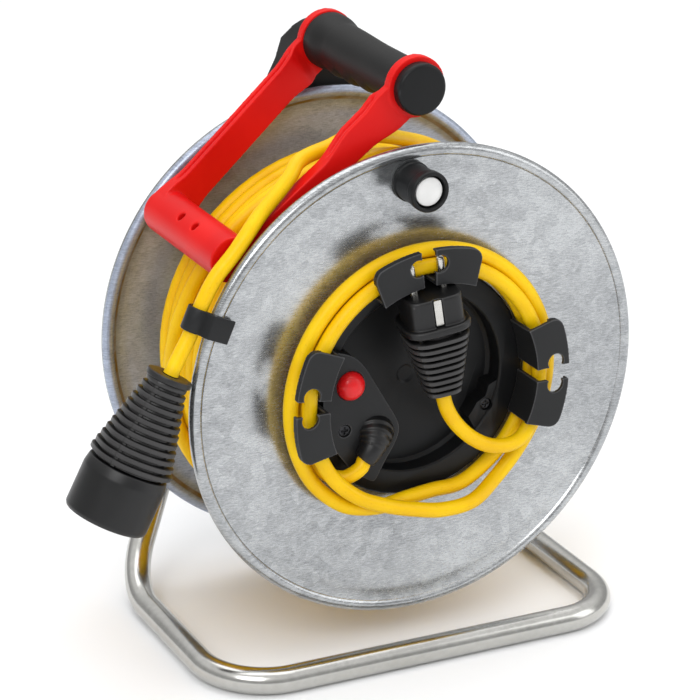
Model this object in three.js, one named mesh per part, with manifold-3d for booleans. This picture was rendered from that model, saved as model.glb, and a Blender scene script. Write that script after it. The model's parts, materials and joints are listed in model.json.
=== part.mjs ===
// An extension cord reel: two galvanised sheet discs on a barrel turn on an axle that a bent
// tube stand holds from behind. The stand rises behind the drum and carries a hand grip over
// it, with a plastic cable guide hung from the grip.
// Millimetres, +Z up. The reel's axis is Y, and the front faces -Y. Heights and places below
// are measured from the axle and from the plane of the front disc's rim, y = 0. The last lines
// stand the finished reel on z = 0 with the middle of its depth on y = 0.
import * as THREE from 'three';
import { mergeVertices } from 'three/addons/utils/BufferGeometryUtils.js';
import Module from 'manifold-3d';

const wasm = await Module();
wasm.setup();

// ---------------------------------------------------------------- driving dimensions
const seat = 0.3;                 // gap kept between pieces that touch

const discRadius = 145;
const drumWidth = 137.3;          // over both rims
const beadRadius = 3.8;           // rolled edge of each disc
const sheetThickness = 1.3;
const dishDepth = 5.8;            // how far the sheet is drawn in at the hub
const hubHoleRadius = 62;

const barrelWall = 2;
const cableDiameter = 9;
const windingRadius = 111.5;      // centreline of the outer layer
const windingPitch = 9.5;
const windingTurns = 12;
const windingStart = 11.5;        // y of the first turn
const windingEndAngle = -30;      // degrees, where the free end leaves

const axleHeight = 167;
const axleRadius = 8;
const bushWall = 3;

const tubeRadius = 8;
const standHalfWidth = 133;
const standFront = -27.6;         // y of the front bar's centreline
const standRearCorner = 121;
const uprightBack = 151;          // y of the uprights' centreline behind the drum
const kneeHeight = -105;
const kneeHalfWidth = 100;
const uprightTop = 150;
const uprightTopHalf = 14;
const frontBend = 40;
const rearBend = 50;
const kneeBend = 60;

const gripHeight = 174.5;
const gripRadius = 13.5;
const gripBarRadius = 8;
const gripCapRadius = 15.2;
const gripCapFront = 9;
const headRadius = 18;
const nearHeadFront = 16.6;
const headThickness = 6;
const farHeadFront = 129;

const guideBarX = -113;
const guideBarZ = 86;
const guideBarRadius = 13.5;
const guideBarBack = 113;
const armThickness = 9;
const armHalfWidth = 10;
const parkingPitch = 19;          // spacing of a plug's two pins
const parkingHole = 2.7;
const parkingMiddle = 61;

const hubRingRadius = hubHoleRadius + 8.8;
const hubRingFront = 4.2;
const bowlRadius = hubHoleRadius - 6;
const bowlFloor = 18;
const hubWall = 2.5;

const clipAngles = { top: 95.3, left: 176.8, right: 1.1 };
const clipWallRadius = hubRingRadius - 0.3;
const clipRadius = clipWallRadius + 19;
const clipFront = -20;
const clipThickness = 2.6;
const clipSpan = 24;              // degrees from the jaw's middle to a wing's far end
const clipJaw = 9.4;              // opening between two wings
const clipNotch = 5.2;

const coverFront = -2;
const buttonX = -(bowlRadius - 9.7);
const buttonZ = 6.8;
const buttonRadius = 8.6;
const buttonFront = -8.5;
const buttonBack = 2;
const buttonTravel = 2.5;
const switchRadius = 7;
const screwOrbit = bowlRadius - 2.5;
const screwRadius = 3.6;
const leftScrewAngle = -157;
const rightScrewAngle = -25;
const reliefBase = 10.5;          // strain relief, from its foot in the cover to its tip
const reliefTip = 6.6;
const reliefStart = new THREE.Vector3(-27, 0.4, -23.4);
const reliefEnd = new THREE.Vector3(-38, -6, -38.8);

const knobOrbit = discRadius - 20;
const knobAngle = 94.5;
const knobRadius = 12;
const knobFront = -22;
const knobPinRadius = 3;

const rimClipAngle = 157.6;
const rimClipWidth = 14;
const tailOrbit = discRadius + 5; // radius at which the free cord lies along the rim
const tailAlongRim = 9.2;         // and its y there

const plugPinRadius = 2.4;
const plugPinLength = 19;
const plugNoseRadius = 17;
const plugNoseLength = 21.5;
const plugCollarRadius = 21.5;
const plugBootLength = 42;
const plugTail = new THREE.Vector3(6.8, -14.6, 1);
const plugHeading = new THREE.Vector3(-0.18, 0, 0.984).normalize();

const couplerRadius = 24.5;
const couplerBody = 33;
const couplerBoot = 57;
const couplerRecess = 17.5;
const couplerWell = 19.9;         // radius of the recess that takes a plug's nose
const couplerEntry = new THREE.Vector3(-156.3, 4, 28.6);
const couplerHeading = new THREE.Vector3(-0.442, 0, -0.897).normalize();

// ---------------------------------------------------------------- materials
const finish = (color, roughness, metalness) =>
  new THREE.MeshStandardMaterial({ color, roughness, metalness });
const galvanised = finish(0xb4b8ba, 0.42, 0.9);
const brightTube = finish(0xc9c7c2, 0.25, 1.0);
const zincSteel = finish(0xa6a8ab, 0.35, 1.0);
const blackPlastic = finish(0x1d1e20, 0.5, 0.0);
const greyPlastic = finish(0x35373a, 0.5, 0.0);
const blackRubber = finish(0x232426, 0.75, 0.0);
const redPlastic = finish(0xd8201c, 0.4, 0.0);
const whitePlastic = finish(0xe6e4e0, 0.4, 0.0);
const yellowCable = finish(0xf5c400, 0.55, 0.0);
const nickel = finish(0xcfcdc8, 0.25, 1.0);

// ---------------------------------------------------------------- solids
function welded(geometry) {
  const bare = geometry.clone();
  bare.deleteAttribute('normal');
  bare.deleteAttribute('uv');
  const merged = mergeVertices(bare, 1e-4);
  const kept = [];
  for (let i = 0; i < merged.index.count; i += 3) {
    const a = merged.index.getX(i);
    const b = merged.index.getX(i + 1);
    const c = merged.index.getX(i + 2);
    if (a !== b && b !== c && c !== a) kept.push(a, b, c);
  }
  merged.setIndex(kept);
  return merged;
}

function signedVolume(geometry) {
  const at = (i) => new THREE.Vector3().fromBufferAttribute(geometry.attributes.position, i);
  let sum = 0;
  for (let i = 0; i < geometry.index.count; i += 3) {
    const a = at(geometry.index.getX(i));
    const b = at(geometry.index.getX(i + 1));
    const c = at(geometry.index.getX(i + 2));
    sum += a.dot(b.cross(c));
  }
  return sum / 6;
}

// A closed shape with its faces pointing out.
function closed(geometry) {
  const shape = welded(geometry);
  if (signedVolume(shape) < 0) {
    const flipped = [];
    for (let i = 0; i < shape.index.count; i += 3) {
      flipped.push(shape.index.getX(i), shape.index.getX(i + 2), shape.index.getX(i + 1));
    }
    shape.setIndex(flipped);
  }
  return shape;
}

function solid(geometry) {
  const shape = closed(geometry);
  return new wasm.Manifold(new wasm.Mesh({
    numProp: 3,
    vertProperties: new Float32Array(shape.attributes.position.array),
    triVerts: new Uint32Array(shape.index.array),
  }));
}

function fromSolid(body) {
  const mesh = body.getMesh();
  const geometry = new THREE.BufferGeometry();
  geometry.setAttribute('position', new THREE.BufferAttribute(mesh.vertProperties, 3));
  geometry.setIndex(new THREE.BufferAttribute(mesh.triVerts, 1));
  return geometry;
}

const joined = (...shapes) => fromSolid(shapes.map(solid).reduce((a, b) => a.add(b)));
const cut = (shape, ...tools) => fromSolid(tools.map(solid).reduce((a, b) => a.subtract(b), solid(shape)));

// A profile of [radius, y] points turned about the Y axis.
function revolve(profile, facets) {
  const points = profile.map(([radius, y]) => new THREE.Vector2(radius, y));
  const onAxis = profile[0][0] === 0 && profile.at(-1)[0] === 0;
  if (!onAxis) points.push(points[0].clone());
  return closed(new THREE.LatheGeometry(points, facets));
}

const disc = (radius, front, back, facets) =>
  revolve([[0, front], [radius, front], [radius, back], [0, back]], facets);

const ring = (inner, outer, front, back, facets) =>
  revolve([[inner, front], [outer, front], [outer, back], [inner, back]], facets);

// A hexagonal nut on a round hole.
const nut = (bore, corner, front, back) => cut(disc(corner, front, back, 6), disc(bore, front - 1, back + 1, 12));

// An outline of [x, z] points pushed along Y from front to back.
function slab(outline, front, back) {
  const shape = new THREE.Shape(outline.map(([x, z]) => new THREE.Vector2(x, z)));
  const geometry = new THREE.ExtrudeGeometry(shape, { depth: back - front, bevelEnabled: false, curveSegments: 6 });
  geometry.rotateX(Math.PI / 2);
  geometry.translate(0, back, 0);
  return closed(geometry);
}

const moved = (geometry, x, y, z) => geometry.clone().translate(x, y, z);
const turned = (geometry, degrees) => geometry.clone().rotateY(-THREE.MathUtils.degToRad(degrees));

// A shape modelled along +Y, put at a place and aimed along a heading. Its +Z side then
// looks to the front.
function aimed(geometry, place, heading) {
  const along = heading.clone().normalize();
  const frontSide = new THREE.Vector3(0, -1, 0).projectOnPlane(along).normalize();
  const across = along.clone().cross(frontSide);
  const turn = new THREE.Matrix4().makeBasis(across, along, frontSide).setPosition(place);
  return geometry.clone().applyMatrix4(turn);
}

function polar(radius, degrees, y = 0) {
  const angle = THREE.MathUtils.degToRad(degrees);
  return new THREE.Vector3(radius * Math.cos(angle), y, radius * Math.sin(angle));
}

function arc(radius, from, to, steps, x = 0, z = 0) {
  return Array.from({ length: steps + 1 }, (_, i) => {
    const point = polar(radius, from + (to - from) * i / steps);
    return [x + point.x, z + point.z];
  });
}

// ---------------------------------------------------------------- tubes along a route
// Rings stand exactly on the route's points. Their frames are carried without twist from
// the middle point, whose up direction is given, so a level stretch keeps a flat underside.
class Route extends THREE.Curve {
  constructor(points, up) {
    super();
    this.points = points;
    this.up = up;
  }

  getPoint(t) {
    const place = t * (this.points.length - 1);
    const i = Math.min(Math.floor(place), this.points.length - 2);
    return this.points[i].clone().lerp(this.points[i + 1], place - i);
  }

  getSpacedPoints() {
    return this.points.map((point) => point.clone());
  }

  computeFrenetFrames() {
    const last = this.points.length - 1;
    const leg = (i) => this.points[i + 1].clone().sub(this.points[i]).normalize();
    const tangents = this.points.map((_, i) => {
      const before = leg(Math.max(i - 1, 0));
      const after = leg(Math.min(i, last - 1));
      return before.add(after).normalize();
    });
    const normals = [];
    const middle = Math.floor(last / 2);
    normals[middle] = this.up.clone().projectOnPlane(tangents[middle]).normalize();
    const carry = (from, to) => {
      const turn = new THREE.Quaternion().setFromUnitVectors(tangents[from], tangents[to]);
      normals[to] = normals[from].clone().applyQuaternion(turn).projectOnPlane(tangents[to]).normalize();
    };
    for (let i = middle; i < last; i += 1) carry(i, i + 1);
    for (let i = middle; i > 0; i -= 1) carry(i, i - 1);
    const binormals = normals.map((normal, i) => tangents[i].clone().cross(normal));
    return { tangents, normals, binormals };
  }
}

// The section's corners lie on the stated radius.
function tube(points, corner, sides, up = new THREE.Vector3(0, 0, 1)) {
  const section = new THREE.Shape(Array.from({ length: sides }, (_, i) => {
    const angle = 2 * Math.PI * (i + 0.5) / sides;
    return new THREE.Vector2(corner * Math.cos(angle), corner * Math.sin(angle));
  }));
  const extrudePath = new Route(points, up);
  return closed(new THREE.ExtrudeGeometry(section, { steps: points.length - 1, extrudePath }));
}

// Straight legs between corners, each corner rounded by an arc of its own radius.
function bentRoute(corners, bends, arcSteps) {
  const points = [corners[0].clone()];
  for (let i = 1; i < corners.length - 1; i += 1) {
    const back = corners[i - 1].clone().sub(corners[i]).normalize();
    const ahead = corners[i + 1].clone().sub(corners[i]).normalize();
    const half = back.angleTo(ahead) / 2;
    const reach = bends[i - 1] / Math.tan(half);
    const centre = back.clone().add(ahead).normalize().multiplyScalar(bends[i - 1] / Math.sin(half)).add(corners[i]);
    const start = corners[i].clone().addScaledVector(back, reach).sub(centre);
    const end = corners[i].clone().addScaledVector(ahead, reach).sub(centre);
    const sweep = start.angleTo(end);
    const axis = start.clone().cross(end).normalize();
    for (let k = 0; k <= arcSteps; k += 1) {
      points.push(start.clone().applyAxisAngle(axis, sweep * k / arcSteps).add(centre));
    }
  }
  points.push(corners.at(-1).clone());
  return points;
}

// A smooth route through hand-placed points. Its first and last legs stay straight.
function smoothRoute(places, step) {
  const stops = places.map(([x, y, z]) => new THREE.Vector3(x, y, z));
  const last = stops.length - 1;
  const curve = new THREE.CatmullRomCurve3(stops, false, 'centripetal');
  const points = [stops[0]];
  for (let i = 1; i < last - 1; i += 1) {
    const count = Math.max(1, Math.round(stops[i].distanceTo(stops[i + 1]) / step));
    for (let k = 0; k < count; k += 1) points.push(curve.getPoint((i + k / count) / last));
  }
  points.push(stops[last - 1], stops[last]);
  return points;
}

// ---------------------------------------------------------------- the model
const reel = new THREE.Group();

function piece(name, geometry, material) {
  const shape = closed(geometry);
  shape.computeVertexNormals();
  const mesh = new THREE.Mesh(shape, material);
  mesh.name = name;
  reel.add(mesh);
  return mesh;
}

const rearWards = (y) => drumWidth - y;

// Both discs share one profile: a rolled bead, a step inside it and a dished sheet.
const rimStep = 1.5;
const discProfile = (() => {
  const beadMiddle = discRadius - beadRadius;
  const sheet = [
    [hubHoleRadius, rimStep + dishDepth],
    [hubHoleRadius + 14, rimStep + dishDepth - 0.6],
    [discRadius - 41, rimStep + dishDepth / 3],
    [discRadius - 16, rimStep],
    [discRadius - 10, rimStep + 0.6],
  ];
  const bead = [212, 258, 304, 350, 36, 82, 128].map((angle) => {
    const point = polar(beadRadius, angle);
    return [beadMiddle + point.x, beadRadius + point.z];
  });
  const back = sheet.map(([radius, y]) => [radius, y + sheetThickness]).reverse();
  return [...sheet, ...bead, ...back];
})();
const sheetFront = (radius) => {
  const inner = discProfile[0];
  const outer = discProfile[1];
  return inner[1] + (outer[1] - inner[1]) * (radius - inner[0]) / (outer[0] - inner[0]);
};

function discs() {
  const facets = 42;
  const knobAt = polar(knobOrbit, knobAngle);
  const front = revolve(discProfile, facets);
  const pinHole = moved(disc(knobPinRadius + seat, -2, 8, 12), knobAt.x, 0, knobAt.z);
  piece('front_disc', cut(front, pinHole), galvanised);
  piece('rear_disc', revolve(discProfile.map(([radius, y]) => [radius, rearWards(y)]), facets), galvanised);
}

const barrelRadius = hubHoleRadius + seat + barrelWall;
const barrelFront = rimStep + dishDepth + sheetThickness + seat;

function barrel() {
  piece('drum_barrel', ring(barrelRadius - barrelWall, barrelRadius, barrelFront, rearWards(barrelFront), 32), galvanised);
}

// The lower layers are one plain core; the outer layer is wound on it turn by turn.
function winding() {
  const steps = 24;
  const coreRadius = windingRadius * Math.cos(Math.PI / steps) - cableDiameter / 2 - seat;
  const coreFront = barrelFront + seat;
  piece('cable_core', ring(barrelRadius + seat, coreRadius, coreFront, rearWards(coreFront), 36), yellowCable);

  const points = [];
  const straight = cableDiameter;
  const along = THREE.MathUtils.radToDeg(straight / windingRadius);
  const turnTo = (angle) => {
    const turns = (angle - windingEndAngle) / 360 + windingTurns;
    return polar(windingRadius, angle, windingStart + windingPitch * turns);
  };
  const firstAngle = windingEndAngle - 360 * windingTurns;
  for (let i = 0; i <= windingTurns * steps; i += 1) points.push(turnTo(firstAngle + i * 360 / steps));
  const startRun = points[0].clone().sub(turnTo(firstAngle + along)).normalize();
  const endRun = turnTo(windingEndAngle).sub(turnTo(windingEndAngle - along)).normalize();
  points.unshift(points[0].clone().addScaledVector(startRun, straight));
  const wound = points.at(-1).clone();
  const end = wound.clone().addScaledVector(endRun, straight);
  points.push(end);
  piece('cable_winding', tube(points, cableDiameter / 2, 6), yellowCable);
  reportGap('cable_winding', points, cableDiameter, steps);
  return { end, direction: endRun };
}

// Least gap of a wound tube to itself, between centreline points at least half a loop apart.
function reportGap(name, points, diameter, stepsPerLoop) {
  let least = Infinity;
  const fine = [];
  for (let i = 0; i < points.length - 1; i += 1) {
    for (let k = 0; k < 4; k += 1) fine.push(points[i].clone().lerp(points[i + 1], k / 4));
  }
  for (let i = 0; i < fine.length; i += 1) {
    for (let j = i + stepsPerLoop * 2; j < fine.length; j += 1) least = Math.min(least, fine[i].distanceTo(fine[j]));
  }
  console.log(`${name}: least gap to itself ${(least - diameter).toFixed(2)} mm`);
}

// ---------------------------------------------------------------- axle and hubs
const bushRadius = axleRadius + seat + bushWall;
const bossRadius = bushRadius + seat + 3.5;
const bracketFront = uprightBack - tubeRadius - seat - 3;
const bushLength = 18;
const bowlBack = bowlFloor + hubWall;
const axleFront = bowlBack + 3;

function axle() {
  const shoulder = 14;
  const spigot = 6;
  const nutFront = bracketFront + 3 + seat;
  piece('axle', revolve([
    [0, axleFront], [axleRadius - 1, axleFront], [axleRadius, axleFront + 1],
    [axleRadius, bracketFront - seat - 4], [shoulder, bracketFront - seat - 4],
    [shoulder, bracketFront - seat], [spigot, bracketFront - seat],
    [spigot, nutFront + 8], [0, nutFront + 8],
  ], 20), zincSteel);
  piece('axle_nut', nut(spigot + seat, 10, nutFront, nutFront + 6), zincSteel);
  piece('front_bush', ring(axleRadius + seat, bushRadius, axleFront + 4, axleFront + 4 + bushLength, 20), whitePlastic);
  const rearBush = rearWards(barrelFront) - 8;
  piece('rear_bush', ring(axleRadius + seat, bushRadius, rearBush - bushLength + 8, rearBush + 8, 20), whitePlastic);
  piece('axle_clip', ring(axleRadius + seat, bushRadius - 0.6, axleFront + 1.6, axleFront + 4 - seat, 16), zincSteel);
}

function rearHub() {
  const flangeFront = rearWards(rimStep + dishDepth) + seat;
  const flangeBack = flangeFront + 3;
  const bore = bushRadius + seat;
  const body = revolve([
    [bore, rearWards(barrelFront) - 18], [bossRadius, rearWards(barrelFront) - 18],
    [bossRadius, flangeFront - 4], [hubHoleRadius - seat, flangeFront - 4],
    [hubHoleRadius - seat, flangeFront], [hubRingRadius + 3, flangeFront + 0.4],
    [hubRingRadius + 3, flangeBack], [hubHoleRadius - 2, flangeBack],
    [hubHoleRadius - 4, flangeFront - 1], [bossRadius + 4, flangeFront - 1],
    [bossRadius, flangeBack], [bore, flangeBack],
  ], 32);
  const ribFrom = bossRadius - 1;
  const ribLength = hubHoleRadius - 2.6 - ribFrom;
  const rib = new THREE.BoxGeometry(ribLength, 4.6, 2.4).translate(ribFrom + ribLength / 2, flangeFront + 0.3, 0);
  const ribs = Array.from({ length: 6 }, (_, i) => turned(rib, i * 60));
  piece('rear_hub', joined(body, ...ribs), blackPlastic);
}

function frontHub() {
  const ringBack = sheetFront(hubRingRadius) - seat;
  const bore = bushRadius + seat;
  const dimple = 6;
  const profile = [
    [0, bowlFloor + 1], [dimple - 1.5, bowlFloor + 1], [dimple, bowlFloor],
    [bowlRadius - 2, bowlFloor], [bowlRadius, bowlFloor - 2],
    [bowlRadius, hubRingFront + 1], [bowlRadius + 1, hubRingFront],
    [hubRingRadius - 1, hubRingFront], [hubRingRadius, hubRingFront + 1], [hubRingRadius, ringBack],
    [hubHoleRadius - seat, ringBack], [hubHoleRadius - seat, bowlBack], [bossRadius, bowlBack],
    [bossRadius, bowlBack + 7 + bushLength], [bore, bowlBack + 7 + bushLength],
    [bore, bowlBack + 0.6], [0, bowlBack + 0.6],
  ];
  const bowl = revolve(profile, 42);
  // The lug on the right takes the second hub screw.
  const lugOutline = [
    ...arc(bowlRadius + 0.6, -8, -42, 6),
    ...arc(bowlRadius - 9, -38, -26, 3),
    ...arc(bowlRadius - 5, -20, -12, 2),
  ];
  const lug = slab(lugOutline, hubRingFront + 1.5, bowlFloor + 0.5);
  const screwAt = polar(screwOrbit, rightScrewAngle);
  const screwHole = moved(disc(screwRadius + seat, hubRingFront - 1, bowlFloor - 4, 12), screwAt.x, 0, screwAt.z);
  piece('hub_plate', cut(joined(bowl, lug), screwHole), blackPlastic);
}

// ---------------------------------------------------------------- cover, button, screws
const reliefLength = reliefStart.distanceTo(reliefEnd);
const reliefHeading = reliefEnd.clone().sub(reliefStart).normalize();

// The cover bridges the bowl on the left and carries the reset button and the cord's exit.
function controlCover() {
  const edge = [
    [-47, 25.8], [-41.5, 22], [-36.5, 16], [-16, -17.5], [-13.8, -22.5], [-13.8, -28], [-16.2, -34], [-21, -42],
  ];
  const flap = (radius) => [...arc(radius, 243, 153, 9), ...edge];
  const over = slab(flap(clipWallRadius - clipThickness - 4), coverFront, hubRingFront - seat);
  const inside = slab(flap(bowlRadius - seat), coverFront + 1, bowlFloor - 2 - seat);
  const buttonBore = moved(disc(buttonRadius + seat, coverFront - 1, buttonBack + buttonTravel + seat, 20), buttonX, 0, buttonZ);
  const pocket = moved(disc(switchRadius + 1, 3, bowlFloor, 16), buttonX, 0, buttonZ);
  const relief = aimed(revolve([
    [0, -14], [reliefBase + seat, -14], [reliefBase + seat, 0], [reliefTip + seat + 0.4, reliefLength],
    [reliefTip + seat + 0.4, reliefLength + 12], [0, reliefLength + 12],
  ], 16), reliefStart, reliefHeading);
  const screwAt = polar(screwOrbit, leftScrewAngle);
  const screwHole = moved(disc(screwRadius + seat, coverFront - 1, 5, 12), screwAt.x, 0, screwAt.z);
  piece('control_cover', cut(joined(over, inside), buttonBore, pocket, relief, screwHole), greyPlastic);
}

function resetButton() {
  const crown = [[0, buttonFront], [4.4, buttonFront + 0.9], [7.2, buttonFront + 2.9], [buttonRadius, buttonFront + 6]];
  const skirt = [[buttonRadius, buttonBack], [0, buttonBack]];
  piece('reset_button', moved(revolve([...crown, ...skirt], 24), buttonX, 0, buttonZ), redPlastic);
  const stem = buttonBack + seat + buttonTravel;
  piece('cutout_switch', moved(revolve([
    [0, stem], [3, stem], [3, stem + 2], [switchRadius, stem + 2],
    [switchRadius, bowlFloor - seat], [0, bowlFloor - seat],
  ], 16), buttonX, 0, buttonZ), blackPlastic);
}

function hubScrews() {
  const place = (name, angle, front, back) => {
    const at = polar(screwOrbit, angle);
    const head = disc(screwRadius, front, back, 12);
    const slotX = new THREE.BoxGeometry(4.4, 2, 1).translate(0, front, 0);
    const slotZ = new THREE.BoxGeometry(1, 2, 4.4).translate(0, front, 0);
    piece(name, moved(cut(head, slotX, slotZ), at.x, 0, at.z), zincSteel);
  };
  place('hub_screw_left', leftScrewAngle, coverFront + 0.6, hubRingFront - seat);
  place('hub_screw_right', rightScrewAngle, hubRingFront + 2.1, bowlFloor - 4 - seat);
}

// ---------------------------------------------------------------- ribbed boots
// Rib crests follow a straight taper, with a narrow groove after each.
function boot(startRadius, endRadius, length, ribs, depth, bore, facets) {
  const pitch = length / ribs;
  const groove = pitch * 0.38;
  const radiusAt = (y) => startRadius + (endRadius - startRadius) * y / length;
  const outline = [[bore, 0]];
  for (let i = 0; i < ribs; i += 1) {
    const from = i * pitch;
    const to = from + pitch - groove;
    outline.push([radiusAt(from), from], [radiusAt(to), to]);
    if (i < ribs - 1) {
      outline.push([radiusAt(to) - depth, to + 0.2], [radiusAt(from + pitch) - depth, from + pitch - 0.2]);
    }
  }
  outline.push([radiusAt(length), length], [bore, length]);
  return revolve(outline, facets);
}

function strainRelief() {
  const body = boot(reliefBase, reliefTip, reliefLength, 5, 1, 0, 12);
  piece('strain_relief', aimed(body, reliefStart, reliefHeading), blackRubber);
}

// ---------------------------------------------------------------- cord clips on the hub
// Each wing is a post on the hub ring with a flange turned out over the wound lead, and a
// notch at its tip. Two wings face each other across a jaw that the lead passes.
function wing(side) {
  const inner = clipWallRadius - clipThickness;
  const from = side * THREE.MathUtils.radToDeg(clipJaw / 2 / clipRadius);
  const to = side * clipSpan;
  const rounded = [[1.2, 2.4], [3.6, 0.6], [7, -0.4]].map(([drop, short]) => {
    const corner = polar(clipRadius - drop, to - side * short);
    return [corner.x, corner.z];
  });
  const band = (outerRadius, innerRadius, end) =>
    [...arc(outerRadius, from, end, 4), ...arc(innerRadius, end, from, 4)];
  const flange = slab([...arc(clipRadius, from, to - side * 5, 4), ...rounded,
    ...arc(inner, to + side * 2, from, 4)], clipFront, clipFront + clipThickness);
  const post = slab(band(clipWallRadius, inner, to + side * 1.5), clipFront + 1, hubRingFront - seat);
  const lip = slab(band(clipRadius, clipRadius - 1.8, to - side * 5), clipFront + 1, clipFront + clipThickness + 2);
  const notchAt = polar(clipRadius - 9, from + side * 2);
  const notch = disc(clipNotch, clipFront - 2, clipFront + clipThickness + 3, 12);
  return cut(joined(flange, post, lip), moved(notch, notchAt.x, 0, notchAt.z));
}

// The parked plug's pins pass through the two top posts.
function clips() {
  const pinPath = [-1, 1].map((side) => aimed(
    moved(disc(plugPinRadius + seat, noseTo, noseTo + plugPinLength + 2, 10), side * parkingPitch / 2, 0, 0),
    plugTail, plugHeading,
  ));
  for (const [place, angle] of Object.entries(clipAngles)) {
    for (const [letter, side] of [['a', 1], ['b', -1]]) {
      const shape = turned(wing(side), angle);
      piece(`cord_clip_${place}_${letter}`, place === 'top' ? cut(shape, ...pinPath) : shape, greyPlastic);
    }
  }
}

// ---------------------------------------------------------------- winding knob
function knob() {
  const at = polar(knobOrbit, knobAngle);
  const discFace = rimStep;
  const put = (geometry) => moved(geometry, at.x, 0, at.z);
  const bore = knobPinRadius + seat;
  const skirtBack = discFace - seat;
  const headFront = rimStep + sheetThickness + 1.1;
  piece('winding_knob', put(revolve([
    [bore, knobFront + 6], [knobRadius - 2, knobFront + 6], [knobRadius - 2, knobFront + 1.6], [knobRadius - 1.2, knobFront],
    [knobRadius, knobFront + 1], [knobRadius, knobFront + 7], [knobRadius - 1.6, knobFront + 13],
    [knobRadius - 1.6, skirtBack - 5], [knobRadius, skirtBack - 1.2], [knobRadius, skirtBack], [bore, skirtBack],
  ], 24)), blackPlastic);
  piece('knob_cap', put(disc(knobRadius - 2 - seat, knobFront + 1, knobFront + 3, 24)), whitePlastic);
  piece('knob_pin', put(revolve([
    [0, knobFront + 3 + seat], [6, knobFront + 3 + seat], [6, knobFront + 6 - seat],
    [knobPinRadius, knobFront + 6 - seat], [knobPinRadius, headFront], [6.5, headFront], [6.5, headFront + 1.5], [0, headFront + 1.5],
  ], 16)), zincSteel);
}

// ---------------------------------------------------------------- rim clip
// A bent strip: a leg down the disc's face, over the rolled bead, and a hook round the cord.
function rimClip() {
  const legInner = discRadius - 13;
  const wall = 2.2;
  const hold = cableDiameter / 2 + seat;
  const hookEnd = 510;
  const loop = (radius, from, to, steps) => arc(radius, from, to, steps, tailOrbit, tailAlongRim);
  // The outline's first number is the radius and its second is y.
  const outline = [
    [legInner, -seat - wall], [discRadius + seat, -seat - wall],
    ...loop(hold + wall, 262, hookEnd, 12), ...loop(hold, hookEnd, 242, 12),
    [discRadius + seat + 0.1, beadRadius], [discRadius - 1, -seat], [legInner, -seat],
  ];
  const shape = new THREE.Shape(outline.map(([radius, y]) => new THREE.Vector2(radius, y)));
  const strip = new THREE.ExtrudeGeometry(shape, { depth: rimClipWidth, bevelEnabled: false });
  piece('rim_clip', turned(strip.translate(0, 0, -rimClipWidth / 2), rimClipAngle), blackPlastic);
}

// ---------------------------------------------------------------- plug
const noseFrom = plugBootLength + 3.4;
const noseTo = plugBootLength + plugNoseLength;

// Everything on the plug is modelled along +Y from the cord's end, then aimed.
const plugPiece = (name, geometry, material) => piece(name, aimed(geometry, plugTail, plugHeading), material);

function plug() {
  const hold = cableDiameter / 2 + seat;
  const reach = noseTo - noseFrom;
  const middle = (noseFrom + noseTo) / 2 + 1;
  const channelDepth = 2.6;
  const stripThickness = 1.2;
  plugPiece('plug_boot', boot(hold + 6, plugCollarRadius - 3.5, plugBootLength - seat, 8, 1.6, hold, 12), blackRubber);

  const body = revolve([
    [0, plugBootLength], [plugCollarRadius, plugBootLength], [plugCollarRadius, noseFrom],
    [plugNoseRadius + 0.6, noseFrom], [plugNoseRadius, noseTo - 1], [plugNoseRadius - 1, noseTo], [0, noseTo],
  ], 24);
  const guideSlot = (side) => new THREE.BoxGeometry(4, reach, 5).translate(side * plugNoseRadius, middle, 0);
  const channel = (side) => new THREE.BoxGeometry(7, reach, 2 * channelDepth)
    .translate(0, middle, side * plugNoseRadius);
  const pinSeat = plugPinRadius + seat;
  const pinHole = (side) => moved(disc(pinSeat, noseTo - 6, noseTo + 1, 10), side * parkingPitch / 2, 0, 0);
  plugPiece('plug_body', cut(body, ...[-1, 1].flatMap((side) => [guideSlot(side), channel(side), pinHole(side)])),
    blackRubber);

  const stripOut = plugNoseRadius - channelDepth + seat + stripThickness / 2;
  for (const [place, side] of [['front', 1], ['rear', -1]]) {
    const strip = new THREE.BoxGeometry(5, reach - 3, stripThickness).translate(0, middle, side * stripOut);
    plugPiece(`plug_earth_${place}`, strip, nickel);
  }
  const pinFoot = noseTo - 6 + seat;
  const pinTip = noseTo + plugPinLength;
  const pin = revolve([[0, pinFoot], [plugPinRadius, pinFoot], [plugPinRadius, pinTip - 1.6],
    [plugPinRadius - 1.4, pinTip], [0, pinTip]], 10);
  for (const [place, side] of [['left', -1], ['right', 1]]) {
    plugPiece(`plug_pin_${place}`, moved(pin, side * parkingPitch / 2, 0, 0), nickel);
  }
}

// ---------------------------------------------------------------- lead between hub and plug
const leadInner = clipWallRadius + cableDiameter / 2 + 0.6;
const leadOuter = leadInner + 8.2;
const leadOnDisc = 1.9;           // y of the first turn, on the disc
const leadBeside = -2.9;          // y of the second, outside it
const leadOver = -7.8;            // y of the third, on top of the first
const leadCrossing = -10.8;       // y where the third crosses the second
const leadEasing = 1.6;           // how far the second turn swings wide of the first one's start
const leadRise = 1.2;             // how far the end lifts off the turns below
const leadStartAngle = 203;
const leadWound = 930;            // degrees wound clockwise, seen from the front
const leadCut = 8.5;              // how far the turns cut in over the hub ring at the bottom
const leadLift = 2.8;             // and how far that lifts them off the disc

const ramp = (value, from, to) => THREE.MathUtils.smoothstep(value, from, to);

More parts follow.
